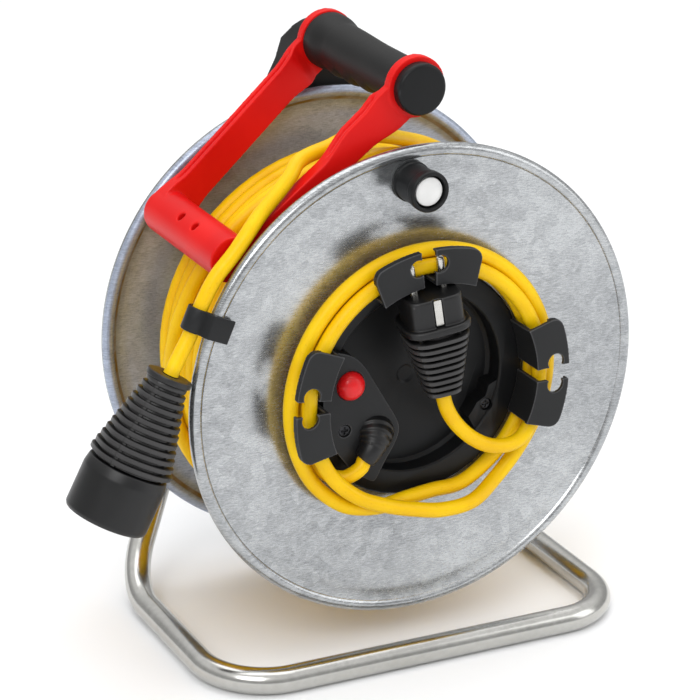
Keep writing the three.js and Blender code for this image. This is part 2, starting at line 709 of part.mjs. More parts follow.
// Place of the wound lead after so many degrees. It lies on the disc for one turn, steps
// outwards for the next, then crosses over that one and lies on top of the first.
function leadPlace(wound) {
  const angle = leadStartAngle - wound;
  const stepOut = ramp(wound, 280, 325);
  const climb = ramp(wound, 603, 640);
  const stepBack = ramp(wound, 640, 700);
  const settle = ramp(wound, 705, 745);
  const fromBottom = THREE.MathUtils.euclideanModulo(angle - 263 + 180, 360) - 180;
  const inwards = Math.abs(fromBottom) < 45 ? leadCut * Math.cos(fromBottom * Math.PI / 90) ** 2 : 0;
  const swing = leadEasing * (ramp(wound, 300, 340) - ramp(wound, 362, 420));
  const radius = leadInner + (leadOuter - leadInner) * (stepOut - stepBack) + swing - inwards;
  const lift = leadLift * ramp(inwards, 0, 2) + leadRise * ramp(wound, 860, 925);
  const y = leadOnDisc + (leadBeside - leadOnDisc) * stepOut + (leadCrossing - leadBeside) * climb
    + (leadOver - leadCrossing) * settle;
  return polar(radius, angle, y - lift);
}

function lead() {
  const steps = 24;
  const count = Math.round(leadWound / 360 * steps);
  const points = Array.from({ length: count + 1 }, (_, i) => leadPlace(leadWound * i / count));
  const run = (to, from) => to.clone().sub(from).normalize();
  const startRun = run(points[0], leadPlace(5));
  const endRun = run(points.at(-1), leadPlace(leadWound - 5));
  points.unshift(points[0].clone().addScaledVector(startRun, cableDiameter));
  points.push(points.at(-1).clone().addScaledVector(endRun, cableDiameter));
  piece('lead_coil', tube(points, cableDiameter / 2, 6), yellowCable);
  reportGap('lead_coil', points, cableDiameter, steps);

  const onward = (place, heading, distance) => place.clone().addScaledVector(heading, distance).toArray();
  const start = [
    onward(reliefEnd, reliefHeading, seat), onward(reliefEnd, reliefHeading, 5), [-50, -4.6, -49],
    [-57.4, -1.2, -47.9], [-62.6, 0.4, -44.2], onward(points[0], startRun, 3), onward(points[0], startRun, seat),
  ];
  piece('lead_start', tube(smoothRoute(start, 7), cableDiameter / 2, 8), yellowCable);

  const last = points.at(-1);
  const end = [
    onward(last, endRun, seat), onward(last, endRun, 3), [72.6, -9, -25.6],
    [69, -10, -34.8], [63, -11.4, -40.4], [55, -12.8, -42.4],
    [41, -14.2, -40.2], [28.2, -14.6, -33], [17.4, -14.6, -22.6], [10.7, -14.6, -12.2],
    onward(plugTail, plugHeading, -4), onward(plugTail, plugHeading, -seat),
  ];
  piece('lead_end', tube(smoothRoute(end, 9), cableDiameter / 2, 8), yellowCable);
}

// ---------------------------------------------------------------- free end and coupler
const couplerPiece = (name, geometry, material) =>
  piece(name, aimed(geometry, couplerEntry, couplerHeading), material);

// A place on the cord's line through the rim clip, so far past the clip's middle.
function inRimClip(past) {
  const middle = polar(tailOrbit, rimClipAngle, tailAlongRim);
  return middle.addScaledVector(polar(1, rimClipAngle + 90), past).toArray();
}

// The free end rises off the winding, passes behind the near arm, comes forward over the
// arm's cut-down edge, lies along the rim through its clip and hangs to the coupler.
function freeEnd(wound) {
  const places = [
    wound.end.clone().addScaledVector(wound.direction, seat).toArray(),
    wound.end.clone().addScaledVector(wound.direction, 8).toArray(),
    [119, 124.5, -10.4], [120.6, 122.6, 10], [118.4, 119, 28], [108.6, 112.5, 55], [90.6, 102, 82], [65.4, 91, 105],
    [43, 81, 118], [19, 67.5, 128], [-6, 52, 137], ...overArm(), [-127, 9.6, 79.8], inRimClip(-9), inRimClip(9),
    [-149.6, 6.8, 38], couplerEntry.clone().addScaledVector(couplerHeading, -3).toArray(),
    couplerEntry.clone().addScaledVector(couplerHeading, -seat).toArray(),
  ];
  piece('free_cord', tube(smoothRoute(places, 14), cableDiameter / 2, 8), yellowCable);
}

function coupler() {
  const hold = cableDiameter / 2 + seat;
  const collarLength = 3.4;
  const collar = ring(hold, 13.4, 0, collarLength, 14);
  const ribbed = boot(11.6, couplerRadius - 1.6, couplerBoot - collarLength + 0.2 - seat, 11, 1.7, hold, 14);
  couplerPiece('coupler_boot', joined(collar, moved(ribbed, 0, collarLength - 0.2, 0)), blackRubber);
  const end = couplerBoot + couplerBody;
  const wellFloor = end - couplerRecess;
  couplerPiece('coupler_body', revolve([
    [0, couplerBoot], [couplerRadius - 1.2, couplerBoot], [couplerRadius, couplerBoot + 6], [couplerRadius, end - 2],
    [couplerRadius - 1.2, end], [couplerWell, end], [couplerWell, wellFloor], [0, wellFloor],
  ], 28), blackRubber);
  const faceThickness = 3;
  const face = disc(couplerWell - seat, wellFloor + seat, wellFloor + faceThickness, 24);
  const holes = [-1, 1].map((side) => moved(disc(3, wellFloor - 1, end, 10), side * parkingPitch / 2, 0, 0));
  couplerPiece('coupler_face', cut(face, ...holes), greyPlastic);
  const stripLength = couplerRecess - faceThickness - 3;
  for (const [place, side] of [['front', 1], ['rear', -1]]) {
    const strip = new THREE.BoxGeometry(4, stripLength, 1)
      .translate(0, wellFloor + faceThickness + seat + stripLength / 2, side * (couplerWell - 1.1));
    couplerPiece(`coupler_earth_${place}`, strip, nickel);
  }
}

// ---------------------------------------------------------------- stand
const standFloor = tubeRadius - axleHeight;      // z of the base loop's centreline

const mirrored = (points) => points.map((point) => new THREE.Vector3(-point.x, point.y, point.z)).reverse();
const uprightDirection = new THREE.Vector3(kneeHalfWidth - uprightTopHalf, 0, kneeHeight - uprightTop).normalize();
const uprightX = (z) => uprightTopHalf + (kneeHalfWidth - uprightTopHalf) * (uprightTop - z) / (uprightTop - kneeHeight);

function standTube() {
  const side = [
    new THREE.Vector3(uprightTopHalf, uprightBack, uprightTop),
    new THREE.Vector3(kneeHalfWidth, uprightBack, kneeHeight),
    new THREE.Vector3(standHalfWidth, standRearCorner, standFloor),
    new THREE.Vector3(standHalfWidth, standFront, standFloor),
  ];
  const half = bentRoute([...side, new THREE.Vector3(0, standFront, standFloor)], [kneeBend, rearBend, frontBend], 5);
  const route = [...half, ...mirrored(half.slice(0, -1))];
  const bar = tube(route, tubeRadius / Math.cos(Math.PI / 12), 12);
  const holes = boltPlaces().map(([x, z]) => moved(disc(boltRadius + seat, uprightBack - 12, uprightBack + 12, 10), x, 0, z));
  piece('stand_tube', cut(bar, ...holes), brightTube);
}

const boltRadius = 3;
const bracketHalfHeight = 24;
const boltPlaces = () => [-1, 1].flatMap((side) => [-1, 1].map((level) => {
  const z = level * (bracketHalfHeight - 9);
  return [side * uprightX(z), z];
}));

// A pressed plate across the uprights holds the axle; its edges are turned back.
function rearBracket() {
  const wide = (z) => uprightX(z) + 11;
  const h = bracketHalfHeight;
  const plateOutline = [
    [-wide(-h), -h], [wide(-h), -h], [wide(h), h], [30, h], [20, h + 7], [-20, h + 7], [-30, h], [-wide(h), h],
  ];
  const plate = slab(plateOutline, bracketFront, bracketFront + 3);
  const half = uprightX(h) - 14;
  const flange = slab([[-half, -h], [half, -h], [half, -h + 3], [-half, -h + 3]], bracketFront, bracketFront + 13);
  const axleHole = disc(6 + seat, bracketFront - 5, bracketFront + 9, 16);
  const holes = boltPlaces().map(([x, z]) => moved(disc(boltRadius + seat, bracketFront - 4, bracketFront + 9, 10), x, 0, z));
  piece('rear_bracket', cut(joined(plate, flange), axleHole, ...holes), zincSteel);

  const headFront = uprightBack + tubeRadius + 0.5 + seat;
  const nutFront = bracketFront - seat - 5;
  boltPlaces().forEach(([x, z], i) => {
    const bolt = joined(disc(boltRadius, nutFront, headFront + 1, 10), disc(5.6, headFront, headFront + 4, 6));
    piece(`bracket_bolt_${i + 1}`, moved(bolt, x, 0, z), zincSteel);
    const held = nut(boltRadius + seat, 5.6, nutFront, bracketFront - seat);
    piece(`bracket_nut_${i + 1}`, moved(held, x, 0, z), zincSteel);
  });
}

// ---------------------------------------------------------------- handle
const legWall = 2.8;
const apexFront = uprightBack - tubeRadius - legWall;
const apexBack = uprightBack + tubeRadius + legWall;
const apexBottom = 96;

// Two sleeves on the uprights join under the grip; a short neck carries the grip bar.
function handleApex() {
  const outer = (z) => uprightX(z) + tubeRadius * 1.06 + legWall;
  const inner = (z) => uprightX(z) - tubeRadius * 1.06 - legWall;
  const crown = gripHeight + 10.5;
  const right = [
    [inner(apexBottom), apexBottom], [outer(apexBottom), apexBottom], [outer(138), 138], [20, 157],
    [15.5, crown - 13], [12.5, crown - 6], [8, crown - 1.8], [3.5, crown],
  ];
  const left = right.map(([x, z]) => [-x, z]).reverse();
  const legs = slab([...right, ...left, [0, 122]], apexFront, apexBack);
  const neckFront = farHeadFront + headThickness + seat;
  const neck = moved(disc(12, neckFront, apexFront + 2, 20), 0, 0, gripHeight);
  const chamfer = new THREE.BoxGeometry(80, 40, 40).translate(0, 0, 20).rotateX(-0.85);
  const top = moved(chamfer, 0, gripBarBack + 1.5, crown);
  const barBore = moved(disc(gripBarRadius + seat, neckFront - 1, gripBarBack + seat, 16), 0, 0, gripHeight);
  const half = uprightX(uprightTop);
  const bores = [-1, 1].map((side) => {
    const down = new THREE.Vector3(side * uprightDirection.x, 0, uprightDirection.z);
    const start = new THREE.Vector3(side * half, uprightBack, uprightTop).addScaledVector(down, -seat);
    return aimed(disc(tubeRadius * 1.036 + seat, 0, 80, 24), start, down);
  });
  piece('handle_apex', cut(joined(legs, neck), top, barBore, ...bores), blackPlastic);
}

const gripBarBack = apexFront + 6;
const sleeveFront = nearHeadFront + headThickness + seat;
const sleeveBack = farHeadFront - seat;
const sleeveFrontRadius = gripRadius + 1;
const sleeveBackRadius = gripRadius + 3.6;

function grip() {
  const lift = (geometry) => moved(geometry, 0, 0, gripHeight);
  piece('grip_bar', lift(disc(gripBarRadius, gripCapFront + 4, gripBarBack, 20)), zincSteel);
  const bore = gripBarRadius + seat;
  const length = sleeveBack - sleeveFront;
  const sleeve = revolve([
    [bore, sleeveFront], [sleeveFrontRadius, sleeveFront], [gripRadius, sleeveFront + 5],
    [gripRadius, sleeveFront + length * 0.45], [gripRadius + 1.2, sleeveFront + length * 0.8],
    [sleeveBackRadius - 0.2, sleeveBack - 8], [sleeveBackRadius, sleeveBack], [bore, sleeveBack],
  ], 20);
  const finger = (y, drop) => new THREE.SphereGeometry(1, 10, 6).scale(9.5, 12.5, 10).translate(0, y, -drop);
  const waves = joined(sleeve, finger(66, 5.4), finger(85, 6.2), finger(104, 5.4));
  piece('grip_sleeve', lift(cut(waves, disc(bore, sleeveFront - 2, sleeveBack + 2, 20))), blackPlastic);
  piece('grip_cap', lift(revolve([
    [0, gripCapFront], [gripCapRadius - 1.5, gripCapFront], [gripCapRadius, gripCapFront + 1.5],
    [gripCapRadius, nearHeadFront - seat], [gripBarRadius + seat, nearHeadFront - seat],
    [gripBarRadius + seat, gripCapFront + 4 - seat], [0, gripCapFront + 4 - seat],
  ], 28)), blackPlastic);
}

// ---------------------------------------------------------------- cable guide
const armRun = Math.hypot(guideBarX, guideBarZ - gripHeight);
const armDown = new THREE.Vector3(guideBarX / armRun, 0, (guideBarZ - gripHeight) / armRun);
const armOut = new THREE.Vector3(armDown.z, 0, -armDown.x);
const nearArmFront = nearHeadFront + 0.4;
const farArmFront = farHeadFront + headThickness - 0.4 - armThickness;
const cutDownEdge = 4;            // the near arm's outer edge where the cord crosses it

// A place so far down the arm, so far out from its middle line, at a given depth.
const armPlace = (down, out, y) => [
  armDown.x * down + armOut.x * out, y, gripHeight + armDown.z * down + armOut.z * out,
];

// The cord's chosen places where it passes behind, over and in front of the near arm.
const overArm = () => [
  armPlace(45, -5, 37), armPlace(58, 0, 36), armPlace(68, 5, 34.6), armPlace(78, 10, 29.5),
  armPlace(88, 9.9, 24), armPlace(101, 9.9, 20), armPlace(115, 9.8, 16.4), armPlace(128, 9, 12), armPlace(141, 6.4, 10.6),
];

// An arm is drawn down from its head: a short neck, a straight stretch and a flare into the bar.
function armOutline(cutDown) {
  const w = armHalfWidth;
  const root = 13;
  const outerEdge = cutDown
    ? [[30, w + 0.5], [64, w], [67, cutDownEdge], [armRun - 10, cutDownEdge], [armRun, cutDownEdge + 2]]
    : [[30, w + 0.5], [armRun - 22, w], [armRun - 4, guideBarRadius]];
  const innerEdge = [[armRun - 4, -guideBarRadius + 0.4], [armRun - 22, -w], [42, -w + 0.5], [28, -w - 1.5]];
  return [[root, headRadius - 4.5], ...outerEdge, ...innerEdge, [root, -headRadius + 4.5]];
}

// Outline given down and out from the head, thickness along Y. From the head's edge on, the
// arm leans by a shift that is full at the bar.
function arm(outline, front, back, lean) {
  const flat = slab(outline.map(([down, out]) => {
    const [x, , z] = armPlace(down, out, 0);
    return [x, z - gripHeight];
  }), front, back);
  const position = flat.attributes.position;
  for (let i = 0; i < position.count; i += 1) {
    const down = position.getX(i) * armDown.x + position.getZ(i) * armDown.z;
    position.setY(i, position.getY(i) + lean * Math.max(0, down - headRadius) / (armRun - headRadius));
  }
  return moved(flat, 0, 0, gripHeight);
}

function cableGuide() {
  const lift = (geometry) => moved(geometry, 0, 0, gripHeight);
  const bar = moved(disc(guideBarRadius, nearArmFront, guideBarBack, 28), guideBarX, 0, guideBarZ);
  const lean = guideBarBack - armThickness - farArmFront;
  const groove = (cutDown, front, shift) => {
    const edge = cutDown ? cutDownEdge : armHalfWidth;
    const to = cutDown ? 60 : armRun - 18;
    return arm([[24, armHalfWidth + 6], [27, armHalfWidth - 1.6], [to, edge - (cutDown ? -3.4 : 2.6)],
      [to + 3, armHalfWidth + 6]], front + armThickness / 2 - 1.2, front + armThickness / 2 + 1.2, shift);
  };
  const nearHead = lift(disc(headRadius, nearHeadFront, nearHeadFront + headThickness, 32));
  const farHead = lift(disc(headRadius, farHeadFront, farHeadFront + headThickness, 32));
  const near = arm(armOutline(true), nearArmFront, nearArmFront + armThickness, 0);
  const far = arm(armOutline(false), farArmFront, farArmFront + armThickness, lean);
  const bore = lift(disc(gripBarRadius + seat, 0, farHeadFront + headThickness + 4, 20));
  const hole = (side) => {
    const mouth = armPlace(armRun, guideBarRadius + 2, parkingMiddle + side * parkingPitch / 2);
    return aimed(disc(parkingHole, 0, guideBarRadius + 8, 10), new THREE.Vector3(...mouth), armOut.clone().negate());
  };
  const room = 0.5;
  const nearRoom = lift(disc(sleeveFrontRadius + room, nearHeadFront + headThickness, sleeveFront + armThickness, 24));
  const farRoom = lift(disc(sleeveBackRadius + room, farArmFront - 2, farHeadFront, 24));
  const body = joined(bar, nearHead, farHead, near, far);
  piece('cable_guide', cut(body, bore, nearRoom, farRoom, groove(true, nearArmFront, 0),
    groove(false, farArmFront, lean), hole(-1), hole(1)), redPlastic);
}

// ---------------------------------------------------------------- put together
discs();
barrel();
axle();
rearHub();
frontHub();
controlCover();
resetButton();
strainRelief();
hubScrews();
clips();
knob();
rimClip();
plug();
lead();
freeEnd(winding());
coupler();
standTube();
rearBracket();
handleApex();
grip();
cableGuide();

const frontMost = standFront - tubeRadius;
const rearMost = uprightBack + tubeRadius + 0.5 + seat + 4;
reel.position.set(0, -(frontMost + rearMost) / 2, axleHeight);

export default reel;
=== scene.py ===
import json
import math

import bmesh
import bpy
from mathutils import Matrix, Vector, noise


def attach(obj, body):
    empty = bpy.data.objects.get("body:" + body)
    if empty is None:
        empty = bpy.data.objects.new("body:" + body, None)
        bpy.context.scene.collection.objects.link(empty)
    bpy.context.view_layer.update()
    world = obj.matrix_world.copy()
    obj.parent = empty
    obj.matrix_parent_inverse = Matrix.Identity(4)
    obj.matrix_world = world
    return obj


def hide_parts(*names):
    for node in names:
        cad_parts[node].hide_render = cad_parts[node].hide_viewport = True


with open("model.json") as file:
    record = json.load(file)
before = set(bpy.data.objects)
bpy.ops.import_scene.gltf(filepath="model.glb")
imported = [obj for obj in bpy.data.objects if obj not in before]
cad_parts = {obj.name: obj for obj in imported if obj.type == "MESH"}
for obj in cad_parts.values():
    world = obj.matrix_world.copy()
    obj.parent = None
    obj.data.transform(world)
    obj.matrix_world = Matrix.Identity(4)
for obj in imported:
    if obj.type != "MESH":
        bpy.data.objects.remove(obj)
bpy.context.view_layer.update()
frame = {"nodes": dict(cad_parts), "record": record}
cadNodes = frame["nodes"]
scene = bpy.context.scene

# Lengths below are in millimetres from the axle and from the front rim's plane (y = 0).
axleHeight = 167.0
midDepth = 64.1                  # from the front rim's plane to the middle of the reel's depth
toFrame = Matrix.Scale(0.001, 4) @ Matrix.Translation((0, -midDepth, axleHeight))
seat = 0.3                       # gap between pieces that touch
cableRadius = 4.5


# ---- camera

cameraFit = {
    "place": (-723.1, -1299.8, 594.9),
    "azimuth": -27.5,
    "elevation": 21.14,
    "roll": 1.62,
    "lens": 141.4,
    "sensor": 36.0,
}


def makeCamera():
    azimuth, elevation, roll = (math.radians(cameraFit[key]) for key in ("azimuth", "elevation", "roll"))
    right = Vector((math.cos(azimuth), math.sin(azimuth), 0))
    back = Vector((math.sin(azimuth) * math.cos(elevation), -math.cos(azimuth) * math.cos(elevation),
                   math.sin(elevation)))
    up = back.cross(right)
    leanedRight = math.cos(roll) * right + math.sin(roll) * up
    leanedUp = math.cos(roll) * up - math.sin(roll) * right
    data = bpy.data.cameras.new("studioCamera")
    data.lens = cameraFit["lens"]
    data.sensor_width = cameraFit["sensor"]
    data.clip_start = 0.05
    camera = bpy.data.objects.new("studioCamera", data)
    turn = Matrix((leanedRight, leanedUp, back)).transposed().to_4x4()
    camera.matrix_world = Matrix.Translation(toFrame @ Vector(cameraFit["place"])) @ turn
    scene.collection.objects.link(camera)
    scene.camera = camera


makeCamera()


# ---- materials

def socket(node, name):
    return node.inputs[name]


class Surface:
    # A material's nodes, with the few helpers that the finishes below share
    def __init__(self, name, settings):
        self.material = bpy.data.materials.new(name)
        self.material.use_nodes = True
        self.tree = self.material.node_tree
        self.tree.nodes.clear()
        self.shader = self.add("ShaderNodeBsdfPrincipled")
        output = self.add("ShaderNodeOutputMaterial")
        self.join(self.shader.outputs["BSDF"], output.inputs["Surface"])
        self.coords = self.add("ShaderNodeTexCoord").outputs["Object"]
        socket(self.shader, "Metallic").default_value = settings.get("metal", 0.0)
        socket(self.shader, "Coat Weight").default_value = settings.get("coat", 0.0)
        socket(self.shader, "Coat Roughness").default_value = settings.get("coatRough", 0.2)
        socket(self.shader, "Specular IOR Level").default_value = settings.get("specular", 0.5)

    def add(self, kind, **values):
        node = self.tree.nodes.new(kind)
        for key, value in values.items():
            setattr(node, key, value)
        return node

    def join(self, source, target):
        self.tree.links.new(source, target)

    def mapped(self, scale):
        node = self.add("ShaderNodeMapping")
        socket(node, "Scale").default_value = scale
        self.join(self.coords, node.inputs["Vector"])
        return node.outputs["Vector"]

    def cloud(self, scale, detail=3.0, stretch=(1, 1, 1)):
        node = self.add("ShaderNodeTexNoise")
        socket(node, "Scale").default_value = scale
        socket(node, "Detail").default_value = detail
        self.join(self.mapped(stretch), node.inputs["Vector"])
        return node.outputs["Fac"]

    def ranged(self, value, low, high, fromLow=0.0, fromHigh=1.0):
        node = self.add("ShaderNodeMapRange")
        for key, number in (("From Min", fromLow), ("From Max", fromHigh), ("To Min", low), ("To Max", high)):
            socket(node, key).default_value = number
        self.join(value, node.inputs["Value"])
        return node.outputs["Result"]

    def blended(self, factor, first, second):
        node = self.add("ShaderNodeMix", data_type="RGBA")
        for place, colour in ((6, first), (7, second)):
            if isinstance(colour, tuple):
                node.inputs[place].default_value = (*colour, 1)
            else:
                self.join(colour, node.inputs[place])
        self.join(factor, node.inputs[0])
        return node.outputs[2]

    def sum(self, first, second, share):
        node = self.add("ShaderNodeMath", operation="MULTIPLY_ADD")
        self.join(second, node.inputs[0])
        node.inputs[1].default_value = share
        self.join(first, node.inputs[2])
        return node.outputs[0]

    def finish(self, colour, rough, height=None, depth=0.0):
        self.join(colour, self.shader.inputs["Base Color"])
        self.join(rough, self.shader.inputs["Roughness"])
        if height is not None:
            bump = self.add("ShaderNodeBump")
            socket(bump, "Strength").default_value = 1.0
            socket(bump, "Distance").default_value = depth * 0.001
            self.join(height, bump.inputs["Height"])
            self.join(bump.outputs["Normal"], self.shader.inputs["Normal"])
        return self.material


# Moulded plastic and rubber: a fine etched grain, a slow drift of tone and paler edges, painted highlights where the
# bevels catch light.
def mouldedLook(name, settings):
    surface = Surface(name, settings)
    drift = surface.cloud(settings["driftScale"])
    grain = surface.cloud(settings["grainScale"], 2.0)
    tone = surface.blended(surface.ranged(drift, 0, 1, 0.3, 0.7), settings["dark"], settings["light"])
    geometry = surface.add("ShaderNodeNewGeometry")
    # Edges found by pointiness are painted paler: a painted highlight that stands in for light caught by the bevels.
    edgeHighlightMask = surface.ranged(geometry.outputs["Pointiness"], 0, settings.get("edgeHighlightShare", 0.5), 0.51, 0.57)
    colour = surface.blended(edgeHighlightMask, tone, settings["edgeHighlight"])
    rough = surface.ranged(surface.sum(drift, grain, 0.6), settings["smooth"], settings["rough"], 0.3, 1.3)
    return surface.finish(colour, rough, grain, settings["grainDepth"])


# Galvanised sheet: faint crystals, short rolling marks and a slow drift of gloss; the same drift in the tone paints
# broad lighter and darker patches that stand in for reflections.
def galvanisedLook(name, settings):
    surface = Surface(name, settings)
    crystal = surface.add("ShaderNodeTexVoronoi")
    socket(crystal, "Scale").default_value = settings["crystalScale"]
    warp = surface.add("ShaderNodeTexNoise")
    socket(warp, "Scale").default_value = settings["crystalScale"] * 0.8
    surface.join(surface.coords, warp.inputs["Vector"])
    bent = surface.add("ShaderNodeMix", data_type="VECTOR")
    bent.inputs[0].default_value = settings["crystalWarp"]
    surface.join(surface.coords, bent.inputs[4])
    surface.join(warp.outputs["Color"], bent.inputs[5])
    surface.join(bent.outputs[1], crystal.inputs["Vector"])
    cell = surface.add("ShaderNodeSeparateColor")
    surface.join(crystal.outputs["Color"], cell.inputs["Color"])
    streak = surface.cloud(settings["streakScale"], 2.0, settings["streakStretch"])
    speckle = surface.cloud(settings["speckleScale"], 3.0)
    mixed = surface.sum(surface.sum(streak, cell.outputs["Red"], settings["crystalShare"]), speckle, 0.5)
    drift = surface.cloud(settings["driftScale"])
    # The slow drift added to the tone is a painted reflection: broad lighter and darker patches over the sheet.
    marksAndPaintedReflection = surface.sum(mixed, drift, settings["paintedReflectionShare"])
    tone = surface.blended(surface.ranged(marksAndPaintedReflection, 0, 1, *settings["toneRange"]), settings["dark"], settings["light"])
    if "brownLine" in settings:
        tone = surface.blended(brownLine(surface, settings["brownLine"]), tone, settings["brownLineColour"])
    rough = surface.ranged(surface.sum(drift, mixed, 0.5), settings["smooth"], settings["rough"], 0.7, 1.3)
    return surface.finish(tone, rough, mixed, settings["markDepth"])


# A yellow-brown line between two radii from the axle, on the wall that faces the cable, where the sheet meets the
# rolled bead.
def brownLine(surface, ring):
    place = surface.add("ShaderNodeSeparateXYZ")
    surface.join(surface.coords, place.inputs["Vector"])
    across = surface.add("ShaderNodeCombineXYZ")
    surface.join(place.outputs["X"], across.inputs["X"])
    height = surface.add("ShaderNodeMath", operation="SUBTRACT")
    surface.join(place.outputs["Z"], height.inputs[0])
    height.inputs[1].default_value = axleHeight * 0.001
    surface.join(height.outputs[0], across.inputs["Z"])
    radius = surface.add("ShaderNodeVectorMath", operation="LENGTH")
    surface.join(across.outputs["Vector"], radius.inputs[0])
    inner = surface.ranged(radius.outputs["Value"], 0, 1, ring[0] * 0.001, (ring[0] + 0.8) * 0.001)
    outer = surface.ranged(radius.outputs["Value"], 1, 0, (ring[1] - 0.8) * 0.001, ring[1] * 0.001)
    both = surface.add("ShaderNodeMath", operation="MULTIPLY")
    surface.join(inner, both.inputs[0])
    surface.join(outer, both.inputs[1])
    patchy = surface.add("ShaderNodeMath", operation="MULTIPLY")
    surface.join(both.outputs[0], patchy.inputs[0])
    surface.join(surface.ranged(surface.cloud(60.0), 0.45, 1.0, 0.35, 0.6), patchy.inputs[1])
    return patchy.outputs[0]


# Drawn or plated steel: fine scratches one way and a slow drift of gloss.
def platedLook(name, settings):
    surface = Surface(name, settings)
    drift = surface.cloud(settings["driftScale"])
    scratch = surface.cloud(settings["scratchScale"], 2.0, settings["scratchStretch"])
    tone = surface.blended(surface.ranged(surface.sum(drift, scratch, 0.6), 0, 1, 0.5, 1.1),
                           settings["dark"], settings["light"])
    rough = surface.ranged(surface.sum(drift, scratch, 0.8), settings["smooth"], settings["rough"], 0.5, 1.3)
    return surface.finish(tone, rough, scratch, settings["scratchDepth"])


# Cable sheath: a slightly waxy surface with soft marks and faint grime.
def sheathLook(name, settings):
    surface = Surface(name, settings)
    socket(surface.shader, "Subsurface Weight").default_value = settings["waxy"]
    socket(surface.shader, "Subsurface Radius").default_value = settings["waxRadius"]
    socket(surface.shader, "Subsurface Scale").default_value = 0.001
    drift = surface.cloud(settings["driftScale"])
    marks = surface.cloud(settings["markScale"], 4.0)
    tone = surface.blended(surface.ranged(drift, 0, 1, 0.3, 0.7), settings["dark"], settings["light"])
    colour = surface.blended(surface.ranged(marks, 0, settings["grime"], 0.62, 0.75), tone, settings["grimeColour"])
    rough = surface.ranged(surface.sum(drift, marks, 0.6), settings["smooth"], settings["rough"], 0.5, 1.2)
    return surface.finish(colour, rough, marks, settings["markDepth"])


